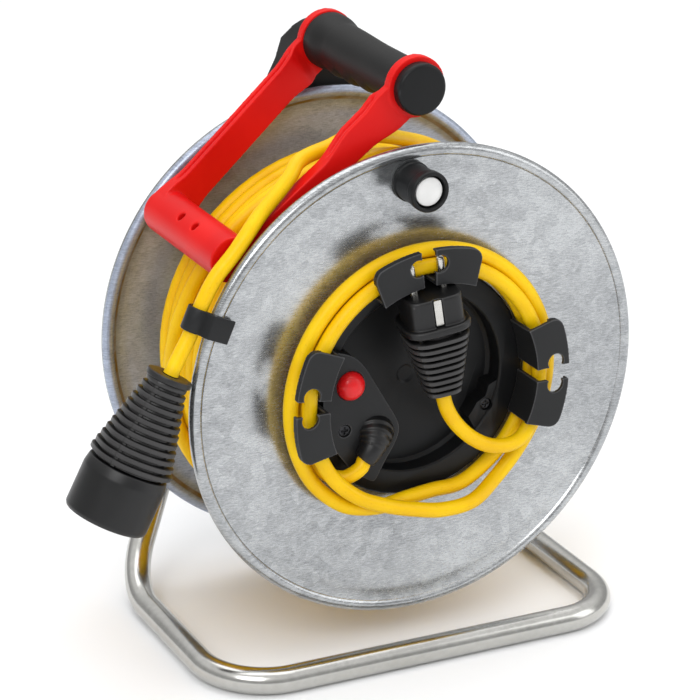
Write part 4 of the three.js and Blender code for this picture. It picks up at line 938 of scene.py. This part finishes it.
buttonShape = {"x": -46.3, "z": 6.8, "radius": 8.6, "front": -8.5, "back": 2.0}
coverShape = {
    "edge": [(-47, 25.8), (-41.5, 22), (-36.5, 16), (-16, -17.5), (-13.8, -22.5), (-13.8, -28), (-16.2, -34), (-21, -42)],
    "front": -2.0, "back": 3.9, "reach": 63.9, "inside": 55.7, "insideBack": 15.7,
    "screwOrbit": 53.5, "screwAngle": -157.0, "screw": 3.9, "voxel": 0.5,
}


# The cover's right edge runs straight down to a round lobe under the cord's exit.
def makeCover():
    s = coverShape

    def flap(radius):
        rim = [polar(radius, 243 - 10 * i) for i in range(10)]
        return filleted([(place.x, place.z) for place in rim] + s["edge"], 3, 3, True)

    plate = slabMesh("coverPlate", flap(s["reach"]), s["front"], s["back"])
    skirt = slabMesh("coverSkirt", flap(s["inside"]), s["front"] + 1, s["insideBack"])
    screwAt = polar(s["screwOrbit"], s["screwAngle"])
    tools = []
    for x, z, radius in ((buttonShape["x"], buttonShape["z"], buttonShape["radius"] + seat),
                         (screwAt.x, screwAt.z, s["screw"])):
        spot = toFrame @ Matrix.Translation((x, 0, z))
        tools.append(lathe("coverHole", [(0, s["front"] - 2), (radius, s["front"] - 2), (radius, 20), (0, 20)], spot, 64))
    bores = joinedMesh("coverHoles", tools)
    parts = [cutAway("drilledCover", part, bores.copy()) for part in (plate, skirt)]
    cover = placed("controlCover", joinedMesh("controlCoverMesh", parts), "greyPlastic", "drum",
                   ["control_cover"])
    moulded(cover, s["voxel"], 3)


makeCover()


def makeButton():
    radius, front, back = buttonShape["radius"], buttonShape["front"], buttonShape["back"]
    dome = [(radius * math.sin(math.radians(a)), front + 6.6 * (1 - math.cos(math.radians(a)))) for a in range(0, 91, 6)]
    profile = [*dome, (radius, back - 0.4), (radius - 0.4, back), (0, back)]
    matrix = toFrame @ Matrix.Translation((buttonShape["x"], 0, buttonShape["z"]))
    placed("resetButton", lathe("resetButtonMesh", profile, matrix, 72), "redButton", "reset_button",
           ["reset_button"])


makeButton()

# A boss that rises from the cover, steps down and bends over into the nozzle.
reliefShape = {
    "foot": Vector((-28.5, 4.5, -25.5)), "crook": Vector((-30.5, -8.0, -28.5)),
    "steps": ((0.0, 12.4), (0.20, 12.4), (0.24, 11.2), (0.34, 11.0), (0.38, 9.9), (0.47, 9.7), (0.51, 8.7), (0.60, 8.5),
              (0.64, 7.6), (0.97, 6.6), (1.0, 6.0)),
    "stations": 60, "around": 72, "voxel": 0.35,
}


def makeRelief():
    s = reliefShape
    foot, crook, end = s["foot"], s["crook"], relief["end"]
    verts, faces = [], []
    around, stations = s["around"], s["stations"]
    for i in range(stations + 1):
        t = i / stations
        place = foot * (1 - t) ** 2 + crook * 2 * t * (1 - t) + end * t * t
        run = ((crook - foot) * (1 - t) + (end - crook) * t).normalized()
        across = run.cross(Vector((0, 0, 1))).normalized()
        up = across.cross(run)
        low, high = [(a, b) for a, b in zip(s["steps"], s["steps"][1:]) if a[0] <= t + 1e-9][-1]
        radius = low[1] + (high[1] - low[1]) * (t - low[0]) / (high[0] - low[0])
        for k in range(around):
            angle = 2 * math.pi * k / around
            verts.append(place + (across * math.cos(angle) + up * math.sin(angle)) * radius)
    for i in range(0, around * stations, around):
        faces += [(i + k, i + (k + 1) % around, i + around + (k + 1) % around, i + around + k) for k in range(around)]
    faces += [tuple(range(around)), tuple(around * stations + k for k in reversed(range(around)))]
    piece = placed("strainRelief", meshOf("strainReliefMesh", verts, faces), "blackRubber", "drum",
                   ["strain_relief"])
    moulded(piece, s["voxel"], 2)


makeRelief()

knobShape = {"orbit": 125.0, "angle": 94.5, "radius": 12.0, "front": -22.0, "face": 1.5}


def makeKnob():
    centre = polar(knobShape["orbit"], knobShape["angle"])
    matrix = toFrame @ Matrix.Translation(centre)
    radius, front, back = knobShape["radius"], knobShape["front"], knobShape["face"] - seat
    bore = 3.3
    lip, well, barrel = radius - 1.9, radius - 2.5, radius - 0.8
    body = filleted([
        (bore, front + 6), (well, front + 6), (well, front + 1.6), (lip, front), (radius - 0.7, front),
        (radius, front + 0.9), (radius, front + 5.5), (barrel, front + 6.7), (barrel, back - 2.6),
        (radius, back - 1.6), (radius, back), (bore, back)], 0.5, 4, True)
    placed("windingKnob", lathe("windingKnobMesh", body, matrix, 96), "blackPlastic", "knob",
           ["winding_knob"])
    edge = well - 1.1
    cap = filleted([(0, front + 1.3), (edge * 0.7, front + 1.4), (edge, front + 1.9), (edge, front + 4),
                    (0, front + 4)], 0.5)
    placed("knobCap", lathe("knobCapMesh", cap, matrix, 96), "whitePlastic", "knob", ["knob_cap"])
    dressed("knob_pin", "zinc", 0.3)


makeKnob()
print("stage: drum made")


# ---- ribbed boots, plug and coupler

# How far out a rounded square reaches at an angle, for a half width of 1. A squareness of 2 is round.
def squareReach(angle, squareness):
    return (abs(math.sin(angle)) ** squareness + abs(math.cos(angle)) ** squareness) ** (-1 / squareness)


# A quarter ring of unit radius with rounded edges, whose ends stop at the spines or meet at the corners.
def ribShape(thickness, inner, sweep, squareness):
    steps = 14
    section = filleted([(inner, -0.5), (1.0, -0.5), (1.0, 0.5), (inner, 0.5)], 0.13, 3, True)
    section = [(radius, along * thickness) for radius, along in section]
    verts, faces = [], []
    for i in range(steps + 1):
        angle = math.radians(-sweep / 2 + sweep * i / steps)
        reach = squareReach(angle, squareness)
        verts += [(radius * reach * math.sin(angle), along, radius * reach * math.cos(angle))
                  for radius, along in section]
    count = len(section)
    for i in range(steps):
        for k in range(count):
            low, high = i * count + k, i * count + (k + 1) % count
            faces.append((low, high, high + count, low + count))
    faces.append(tuple(range(count)))
    faces.append(tuple(steps * count + k for k in reversed(range(count))))
    mesh = meshOf("ribShape", verts, faces, Matrix.Identity(4))
    rib = bpy.data.objects.new("ribShape", mesh)
    return rib


ribs = ribTree()


# A tapered core with four spines, and quarter ribs between them.
def bootMesh(name, settings, matrix):
    tree, keys = ribs
    length, count = settings["length"], settings["ribs"]
    first, last = settings["first"], settings["last"]
    matrix = matrix @ Matrix.Rotation(math.radians(settings["turn"]), 4, "Y")
    pitch = length / count
    thickness = pitch * settings["ribShare"]
    rib = ribShape(thickness, settings["core"], settings["sweep"], settings["squareness"])
    scene.collection.objects.link(rib)
    stack = grown(name + "Ribs", tree, keys, {
        "Rib": rib, "Count": count, "Pitch": pitch, "First Radius": first, "Last Radius": last,
        "Material": looks["blackRubber"]})
    bpy.data.objects.remove(rib)
    stack.transform(Matrix.Translation((0, settings["from"] + thickness / 2, 0)))
    stack.transform(matrix)
    depth = settings["depth"]
    bore = cableRadius + seat
    core = lathe(name + "Core", filleted([
        (bore, settings["from"]), (first - depth, settings["from"]), (last - depth, settings["from"] + length),
        (bore, settings["from"] + length)], 0.3, 2, True), matrix, 64)
    verts, faces = [], []
    for side in range(4):
        middle = math.radians(45 + 90 * side)
        half = settings["spine"] / 2
        out = Vector((math.sin(middle), 0, math.cos(middle)))
        across = Vector((math.cos(middle), 0, -math.sin(middle)))
        begin = len(verts)
        for y, radius in ((settings["from"], first), (settings["from"] + length, last)):
            for reach in (radius - depth - 1.5, radius - settings["spineDrop"]):
                for step in (-1, 1):
                    place = out * reach + across * (half * step)
                    verts.append((place.x, y, place.z))
        a = begin
        faces += [(a, a + 1, a + 3, a + 2), (a + 4, a + 6, a + 7, a + 5), (a, a + 4, a + 5, a + 1),
                  (a + 2, a + 3, a + 7, a + 6), (a, a + 2, a + 6, a + 4), (a + 1, a + 5, a + 7, a + 3)]
    spines = meshOf(name + "Spines", verts, faces, matrix, 30)
    return [stack, core, spines]


plugShape = {"boot": 42.0, "noseLength": 21.5, "collar": 21.5, "nose": 17.0, "pin": 2.4, "pinLength": 19.0,
             "pitch": 19.0, "noseHalf": 16.6, "noseDepth": 15.4, "channel": 5.6, "channelDepth": 2.0, "strip": 4.4,
             "turn": -10.0, "rim": 3.6, "rimHeight": 3.6}
plugBoot = {"from": 0.0, "length": 40.4, "ribs": 9, "first": 10.6, "last": 18.6, "core": 0.62, "depth": 3.6,
            "spine": 2.6, "spineDrop": 1.2, "turn": 0.0, "ribShare": 0.6, "sweep": 89.6, "squareness": 3.4}


# A rounded square body along local Y. Each ring gives y and its two half widths.
def squareLoft(name, rings, squareness, matrix, channel=None):
    around = 160
    verts, faces = [], []
    for y, half, depth in rings:
        for i in range(around):
            angle = 2 * math.pi * i / around
            x, z = math.cos(angle), math.sin(angle)
            reach = (abs(x / half) ** squareness + abs(z / depth) ** squareness) ** (-1 / squareness)
            x, z = x * reach, z * reach
            if channel and abs(x) < channel[0] / 2:
                z = math.copysign(min(abs(z), channel[1]), z)
            verts.append((x, y, z))
    for low in range(0, around * (len(rings) - 1), around):
        faces += [(low + i, low + (i + 1) % around, low + around + (i + 1) % around, low + around + i)
                  for i in range(around)]
    faces += [tuple(range(around)), tuple(range(len(verts) - 1, len(verts) - 1 - around, -1))]
    return meshOf(name, verts, faces, matrix)


# The collar, and a nose with flat fronts and a channel for each earth strip.
def plugBodyMesh(matrix):
    s = plugShape
    foot, top = s["boot"] + 1, s["boot"] + s["noseLength"]
    half, depth, rim = s["noseHalf"], s["noseDepth"], s["rim"]
    nose = [(foot, half, depth), (foot + 3, half, depth), (top - 1.2, half - 0.3, depth - 0.3),
            (top - 0.3, half - 0.7, depth - 0.7), (top, half - 1.3, depth - 1.3)]
    collar = [(s["boot"], half + rim - 0.6, depth + rim - 0.6), (s["boot"] + 0.8, half + rim, depth + rim),
              (s["boot"] + s["rimHeight"], half + rim, depth + rim),
              (s["boot"] + s["rimHeight"] + 0.8, half + rim - 0.8, depth + rim - 0.8)]
    channel = (s["channel"], depth - s["channelDepth"])
    parts = [squareLoft("plugNose", nose, 5, matrix, channel), squareLoft("plugCollar", collar, 3.6, matrix)]
    return joinedMesh("plugBodyMesh", parts)


def makePlug():
    matrix = aimed(plugTail, plugHeading)
    turned = matrix @ Matrix.Rotation(math.radians(plugShape["turn"]), 4, "Y")
    boot = joinedMesh("plugBootMesh", bootMesh("plugBoot", plugBoot, turned))
    shaded(boot, 40)
    pieces = [placed("plugBoot", boot, "blackRubber", "drum", ["plug_boot"])]
    body = placed("plugBody", plugBodyMesh(turned), "blackRubber", "drum", ["plug_body"])
    pieces.append(moulded(body, 0.45, 2))
    noseTo = plugShape["boot"] + plugShape["noseLength"]
    foot, tip = noseTo - 6 + seat, noseTo + plugShape["pinLength"]
    radius = plugShape["pin"]
    profile = [(0, foot), (radius, foot), (radius, tip - 2.2)]
    profile += [(radius * math.cos(math.radians(a)), tip - 2.2 + 2.2 * math.sin(math.radians(a))) for a in range(15, 91, 15)]
    for place, side in (("left", -1), ("right", 1)):
        spot = matrix @ Matrix.Translation((side * plugShape["pitch"] / 2, 0, 0))
        mesh = lathe("plugPinMesh", profile, spot, 32)
        pieces.append(placed("plugPin_" + place, mesh, "nickel", "drum", ["plug_pin_" + place]))
    half, low, high = plugShape["strip"] / 2, plugShape["boot"] + 5.5, noseTo - 0.5
    for place, side in (("front", 1), ("rear", -1)):
        outer = side * (plugShape["noseDepth"] - 0.5)
        inner = outer - side * 1.2
        outline = filleted([(-half, low), (half, low), (half, high), (-half, high)], 0.6, 3, True)
        verts = [(x, y, z) for z in (inner, outer) for x, y in outline]
        count = len(outline)
        faces = [tuple(range(count)), tuple(range(2 * count - 1, count - 1, -1))]
        faces += [(i, (i + 1) % count, count + (i + 1) % count, count + i) for i in range(count)]
        strip = meshOf("plugEarthMesh", verts, faces, turned)
        pieces.append(placed("plugEarth_" + place, strip, "nickel", "drum", ["plug_earth_" + place]))
    return pieces


couplerShape = {"boot": 57.0, "body": 33.0, "radius": 24.5, "well": 19.9, "recess": 17.5, "collar": 3.4}
couplerBoot = {"from": 3.6, "length": 52.6, "ribs": 12, "first": 11.6, "last": 23.8, "core": 0.74, "depth": 2.6,
               "spine": 2.2, "spineDrop": 1.6, "turn": 8.0, "ribShare": 0.68, "sweep": 89.6, "squareness": 2.4}


def makeCoupler():
    matrix = aimed(couplerEntry, couplerHeading)
    parts = bootMesh("couplerBoot", couplerBoot, matrix)
    hold = cableRadius + seat
    parts.append(lathe("couplerCollar", filleted([(hold, 0), (13.4, 0), (13.4, couplerShape["collar"]),
                                                  (hold, couplerShape["collar"])], 0.6, 3, True), matrix, 64))
    boot = joinedMesh("couplerBootMesh", parts)
    shaded(boot, 40)
    pieces = [placed("couplerBoot", boot, "blackRubber", "stand", ["coupler_boot"])]
    radius, well, start = couplerShape["radius"], couplerShape["well"], couplerShape["boot"]
    end = start + couplerShape["body"]
    floor = end - couplerShape["recess"]
    body = filleted([(0, start), (radius - 1.2, start), (radius, start + 6), (radius, end - 2), (radius - 1.2, end),
                     (well, end), (well, floor), (0, floor)], 0.8, 4)
    pieces.append(placed("couplerBody", lathe("couplerBodyMesh", body, matrix, 128), "blackRubber", "stand",
                         ["coupler_body"]))
    pieces.append(dressed("coupler_face", "greyPlastic", 0.3))
    for place in ("front", "rear"):
        pieces.append(dressed("coupler_earth_" + place, "nickel", 0.2))
    return pieces


plugPieces = makePlug()
couplerPieces = makeCoupler()
print("stage: plug and coupler made")


# ---- stand

standShape = {"radius": 8.0, "halfWidth": 133.0, "front": -27.6, "rearCorner": 121.0, "back": 151.0,
              "knee": -105.0, "kneeHalf": 100.0, "top": 150.0, "topHalf": 14.0,
              "bends": (60.0, 50.0, 40.0), "arcSteps": 18}


def bentRoute(corners, bends, arcSteps):
    points = [corners[0]]
    for i, bend in enumerate(bends, 1):
        back = (corners[i - 1] - corners[i]).normalized()
        ahead = (corners[i + 1] - corners[i]).normalized()
        half = back.angle(ahead) / 2
        reach = bend / math.tan(half)
        centre = corners[i] + (back + ahead).normalized() * (bend / math.sin(half))
        start = corners[i] + back * reach - centre
        end = corners[i] + ahead * reach - centre
        axis = start.cross(end).normalized()
        sweep = start.angle(end)
        for k in range(arcSteps + 1):
            points.append(centre + Matrix.Rotation(sweep * k / arcSteps, 3, axis) @ start)
    points.append(corners[-1])
    return points


def makeStandTube():
    s = standShape
    floor = s["radius"] - axleHeight
    corners = [Vector((s["topHalf"], s["back"], s["top"])), Vector((s["kneeHalf"], s["back"], s["knee"])),
               Vector((s["halfWidth"], s["rearCorner"], floor)), Vector((s["halfWidth"], s["front"], floor)),
               Vector((0, s["front"], floor))]
    half = bentRoute(corners, s["bends"], s["arcSteps"])
    route = half + [Vector((-p.x, p.y, p.z)) for p in reversed(half[:-1])]
    curve = bpy.data.curves.new("standTubeLine", "CURVE")
    curve.dimensions = "3D"
    curve.bevel_depth = s["radius"] * 0.001
    curve.bevel_resolution = 12
    curve.use_fill_caps = True
    spline = curve.splines.new("POLY")
    spline.points.add(len(route) - 1)
    for point, place in zip(spline.points, route):
        point.co = (*(toFrame @ place), 1)
    spline.use_smooth = True
    holder = bpy.data.objects.new("standTubeLine", curve)
    scene.collection.objects.link(holder)
    depsgraph = bpy.context.evaluated_depsgraph_get()
    mesh = bpy.data.meshes.new_from_object(holder.evaluated_get(depsgraph))
    bpy.data.objects.remove(holder)
    shape = bmesh.new()
    shape.from_mesh(mesh)
    bmesh.ops.remove_doubles(shape, verts=shape.verts, dist=1e-6)
    bmesh.ops.recalc_face_normals(shape, faces=shape.faces)
    shape.to_mesh(mesh)
    shape.free()
    shaded(mesh, 40)
    placed("standTube", mesh, "brightTube", "stand", ["stand_tube"])


makeStandTube()

boltShape = {"radius": 3.0, "head": 5.6, "headHeight": 4.0, "level": 15.0, "plate": 139.7}


def hexShape(name, corner, front, back):
    outline = [(corner * math.cos(math.radians(60 * i)), corner * math.sin(math.radians(60 * i))) for i in range(6)]
    verts = [(x * scale, y, z * scale) for y, scale in ((front, 1), (back - 0.6, 1), (back, 0.9)) for x, z in outline]
    faces = [tuple(range(6)), tuple(12 + i for i in reversed(range(6)))]
    for layer in (0, 6):
        faces += [(layer + i, layer + 6 + i, layer + 6 + (i + 1) % 6, layer + (i + 1) % 6) for i in range(6)]
    return meshOf(name, verts, faces, Matrix.Scale(0.001, 4), 25)


def makeBolts():
    s = standShape
    slope = (s["kneeHalf"] - s["topHalf"]) / (s["top"] - s["knee"])
    places = []
    for side in (-1, 1):
        for level in (-boltShape["level"], boltShape["level"]):
            places.append(Vector((side * (s["topHalf"] + slope * (s["top"] - level)), 0, level)))
    head = s["back"] + s["radius"] + 0.5 + seat
    parts = [hexShape("boltHead", boltShape["head"], head, head + boltShape["headHeight"]),
             lathe("boltShank", filleted([(0, 134.4), (3, 134.4), (3, head + 1), (0, head + 1)], 0.4), Matrix.Scale(0.001, 4), 24),
             hexShape("boltNut", boltShape["head"], 139.4, 134.6)]
    part = bpy.data.objects.new("boltPart", joinedMesh("boltPart", parts))
    scene.collection.objects.link(part)
    points = bpy.data.meshes.new("boltPlaces")
    points.from_pydata([toFrame @ place for place in places], [], [])
    tree, keys = copyTree()
    mesh = grown("bracketBoltsMesh", tree, keys, {"Part": part, "Turn": 0.4, "Material": looks["zinc"]}, points)
    bpy.data.objects.remove(part)
    shaded(mesh, 25)
    replaced = ["bracket_%s_%d" % (kind, i) for kind in ("bolt", "nut") for i in (1, 2, 3, 4)]
    placed("bracketBolts", mesh, "zinc", "stand", replaced)


makeBolts()


def makeMetalwork():
    dressed("drum_barrel", "galvanised", 0.3)
    dressed("rear_bracket", "zinc", 0.5)
    dressed("axle", "zinc", 0.4)
    dressed("axle_nut", "zinc", 0.4)
    dressed("axle_clip", "zinc", 0.2)
    dressed("front_bush", "whitePlastic", 0.3)
    dressed("rear_bush", "whitePlastic", 0.3)


makeMetalwork()
print("stage: stand made")


# ---- handle and guide

gripShape = {"front": 22.9, "back": 128.7, "radius": 13.5, "frontRadius": 14.5, "backRadius": 17.1, "bore": 8.3}
fingerBumps = {"places": (66.0, 85.0, 104.0), "reach": (5.0, 5.8, 5.0), "width": 8.2, "half": 62.0}


def gripRadiusAt(y):
    s = gripShape
    length = s["back"] - s["front"]
    t = (y - s["front"]) / length
    waist = s["radius"] + 1.2 * ramp(t, 0.35, 0.8)
    flare = (s["backRadius"] - s["radius"] - 1.2) * ramp(t, 0.8, 0.94)
    lip = (s["frontRadius"] - s["radius"]) * (1 - ramp(t, 0.0, 0.06))
    return waist + flare + lip


def makeGrip():
    s = gripShape
    around, along = 96, 150
    edge = 0.8
    rings = [(s["front"] + edge * (1 - math.cos(a)), edge * (1 - math.sin(a))) for a in (0.0, 0.5, 1.0, math.pi / 2)]
    stops = rings + [(s["front"] + edge + (s["back"] - s["front"] - 2 * edge) * i / along, 0.0) for i in range(1, along)]
    stops += [(s["back"] - (y - s["front"]), drop) for y, drop in reversed(rings)]
    verts, faces = [], []
    for y, drop in stops:
        for i in range(around):
            angle = 360 * i / around
            fromBelow = abs((angle - 270 + 180) % 360 - 180)
            bump = 0.0
            for place, reach in zip(fingerBumps["places"], fingerBumps["reach"]):
                near = max(0.0, 1 - ((y - place) / fingerBumps["width"]) ** 2)
                bump = max(bump, reach * near ** 0.7)
            share = max(0.0, 1 - (fromBelow / fingerBumps["half"]) ** 2)
            point = polar(gripRadiusAt(y) - drop + bump * share * 0.55, angle, y)
            verts.append(point + Vector((0, 0, gripHeight)))
    count = len(stops)
    for y in (s["back"], s["front"]):
        verts += [polar(s["bore"], 360 * i / around, y) + Vector((0, 0, gripHeight)) for i in range(around)]
    order = [*range(count), count, count + 1]
    for low, high in zip(order, order[1:] + order[:1]):
        for i in range(around):
            j = (i + 1) % around
            faces.append((low * around + i, high * around + i, high * around + j, low * around + j))
    mesh = meshOf("gripSleeveMesh", verts, faces, toFrame, 40)
    placed("gripSleeve", mesh, "gripPlastic", "stand", ["grip_sleeve"])


makeGrip()

capShape = {"front": 9.0, "back": 16.3, "radius": 15.2}


def makeGripCap():
    front, back, radius = capShape["front"], capShape["back"], capShape["radius"]
    bore = 8.3
    profile = filleted([(0, front), (radius - 1.2, front), (radius, front + 1.2), (radius, back), (bore, back),
                        (bore, front + 3.7), (0, front + 3.7)], 0.9, 4)
    matrix = toFrame @ Matrix.Translation((0, 0, gripHeight))
    placed("gripCap", lathe("gripCapMesh", profile, matrix, 96), "blackPlastic", "stand", ["grip_cap"])


makeGripCap()
dressed("grip_bar", "zinc", 0.4)
moulded(dressed("handle_apex", "gripPlastic", 2.2, 4), 0.9, 14)

guideShape = {
    "half": 10.0, "thickness": 9.0, "head": 18.0, "headThickness": 6.0, "bore": 8.3,
    "nearHead": 16.6, "farHead": 129.0, "barBack": 113.0,
    "crossing": 4.0,             # the near arm's outer edge where the cord passes it
    "grooveWidth": 2.6, "grooveDepth": 2.2, "fillet": 5.0,
    "hole": 2.8, "holePitch": 19.0, "holeMiddle": 61.0, "voxel": 0.65,
}


def easedAlong(stops, down):
    for (start, first), (end, last) in zip(stops, stops[1:]):
        if down <= end:
            return first + (last - first) * ramp(down, start, end)
    return stops[-1][1]


# An arm's skin from rings of eight corners, the groove's among them.
def armMesh(name, near):
    s = guideShape
    front = s["nearHead"] + 0.4 if near else s["farHead"] + s["headThickness"] - 0.4 - s["thickness"]
    back = front + s["thickness"]
    lean = 0 if near else s["barBack"] - back
    inner = [(13, -12.4), (20, -12.6), (42, -9.5), (armRun - 26, -9.6), (armRun - 3, -13.0)]
    outer = [(13, 12.4), (20, 12.2), (36, s["half"]), (armRun - 26, s["half"]), (armRun - 3, 13.0)]
    if near:
        outer = [(13, 12.4), (20, 12.2), (34, s["half"]), (44, 9.6), (72, s["crossing"]),
                 (armRun - 12, s["crossing"]), (armRun, 6)]
    grooveTo = 66 if near else armRun - 14
    steps = 90
    verts, faces = [], []
    for i in range(steps + 1):
        down = 13 + (armRun - 13) * i / steps
        out, into = easedAlong(outer, down), easedAlong(inner, down)
        shift = lean * max(0, down - s["head"]) / (armRun - s["head"])
        fillet = s["fillet"] * max(0, (down - armRun + 16) / 16) ** 2
        low, high = front + shift, back + shift
        if near:
            high = s["nearHead"] + s["headThickness"] + (high - s["nearHead"] - s["headThickness"]) * ramp(down, 15.5, 23)
            high += fillet
        else:
            low += (s["farHead"] - front) * (1 - ramp(down, 18, 26)) - fillet
        middle = (front + back) / 2 + shift
        groove = s["grooveDepth"] * ramp(down, 20, 26) * (1 - ramp(down, grooveTo - 6, grooveTo))
        half = s["grooveWidth"] / 2
        ring = [(into, low), (out, low), (out, middle - half), (out - groove, middle - half), (out - groove, middle + half),
                (out, middle + half), (out, high), (into, high)]
        if down < 24:
            ring = [(place, min(max(y, low), high)) for place, y in ring]
        verts += [armPlace(down, place, y) for place, y in ring]
    for i in range(steps):
        faces += [(8 * i + k, 8 * i + (k + 1) % 8, 8 * i + 8 + (k + 1) % 8, 8 * i + 8 + k) for k in range(8)]
    faces += [tuple(range(8)), tuple(8 * steps + k for k in reversed(range(8)))]
    return meshOf(name, verts, faces)


def makeGuide():
    s = guideShape
    nearFront = s["nearHead"] + 0.4
    parts = [armMesh("nearArm", True), armMesh("farArm", False)]
    for front in (s["nearHead"], s["farHead"]):
        back = front + s["headThickness"]
        ring = [(s["bore"], front), (s["head"], front), (s["head"], back), (s["bore"], back)]
        parts.append(lathe("armHead", ring, toFrame @ Matrix.Translation((0, 0, gripHeight)), 96))
    radius = guideBar["radius"]
    bar = lathe("guideBar", [(0, nearFront), (radius, nearFront), (radius, s["barBack"]), (0, s["barBack"])],
                toFrame @ Matrix.Translation((guideBar["x"], 0, guideBar["z"])), 96)
    holes = []
    for side in (-1, 1):
        mouth = armPlace(armRun, radius + 2, s["holeMiddle"] + side * s["holePitch"] / 2)
        holes.append(lathe("parkingHole", [(0, 0), (s["hole"], 0), (s["hole"], 21), (0, 21)], aimed(mouth, -armOut), 32))
    parts.append(cutAway("drilledBar", bar, joinedMesh("parkingHoles", holes)))
    guide = placed("cableGuide", joinedMesh("cableGuideMesh", parts), "redPlastic", "stand",
                   ["cable_guide"])
    moulded(guide, s["voxel"], 5)


makeGuide()
print("stage: handle made")


# ---- floor and light

studio = {"floor": (0.93, 0.935, 0.945), "air": 0.9}


def makeFloor():
    mesh = bpy.data.meshes.new("studioFloor")
    size = 14.0
    mesh.from_pydata([(-size, -size, 0), (size, -size, 0), (size, size, 0), (-size, size, 0)], [], [(0, 1, 2, 3)])
    floor = bpy.data.objects.new("studioFloor", mesh)
    scene.collection.objects.link(floor)
    material = bpy.data.materials.new("studioFloor")
    material.use_nodes = True
    shader = material.node_tree.nodes["Principled BSDF"]
    shader.inputs["Base Color"].default_value = (*studio["floor"], 1)
    shader.inputs["Roughness"].default_value = 0.9
    mesh.materials.append(material)


def makeLamp(name, place, target, size, power, colour=(1, 1, 1)):
    data = bpy.data.lights.new(name, "AREA")
    data.shape = "RECTANGLE"
    data.size, data.size_y = size
    data.energy = power
    data.color = colour
    lamp = bpy.data.objects.new(name, data)
    lamp.location = place
    lamp.rotation_euler = (Vector(target) - Vector(place)).to_track_quat("-Z", "Y").to_euler()
    scene.collection.objects.link(lamp)


def makeWorld():
    world = bpy.data.worlds.new("studioAir")
    world.use_nodes = True
    tree = world.node_tree
    background = tree.nodes["Background"]
    coords = tree.nodes.new("ShaderNodeTexCoord")
    height = tree.nodes.new("ShaderNodeSeparateXYZ")
    tree.links.new(coords.outputs["Generated"], height.inputs[0])
    bands = tree.nodes.new("ShaderNodeValToRGB")
    stops = bands.color_ramp
    stops.elements[0].position, stops.elements[0].color = 0.0, (0.8, 0.8, 0.8, 1)
    stops.elements[1].position, stops.elements[1].color = 1.0, (1.0, 1.0, 1.0, 1)
    for place, tone in ((0.48, 0.85), (0.56, 0.45), (0.68, 0.55), (0.80, 1.0)):
        stops.elements.new(place).color = (tone, tone, tone, 1)
    shifted = tree.nodes.new("ShaderNodeMapRange")
    shifted.inputs["From Min"].default_value = -1.0
    tree.links.new(height.outputs["Z"], shifted.inputs["Value"])
    tree.links.new(shifted.outputs["Result"], bands.inputs["Fac"])
    tree.links.new(bands.outputs["Color"], background.inputs["Color"])
    background.inputs["Strength"].default_value = studio["air"]
    scene.world = world


makeFloor()
makeLamp("keyLamp", (-1.6, -1.7, 1.9), (0, 0, 0.17), (1.6, 1.2), 28)
makeLamp("fillLamp", (1.9, -1.3, 1.1), (0, 0, 0.17), (1.2, 1.6), 10)
makeLamp("topLamp", (0.1, 0.3, 2.4), (0, 0, 0.17), (2.2, 2.2), 24)
makeWorld()
scene.view_settings.view_transform = "Standard"
print("stage: studio made")
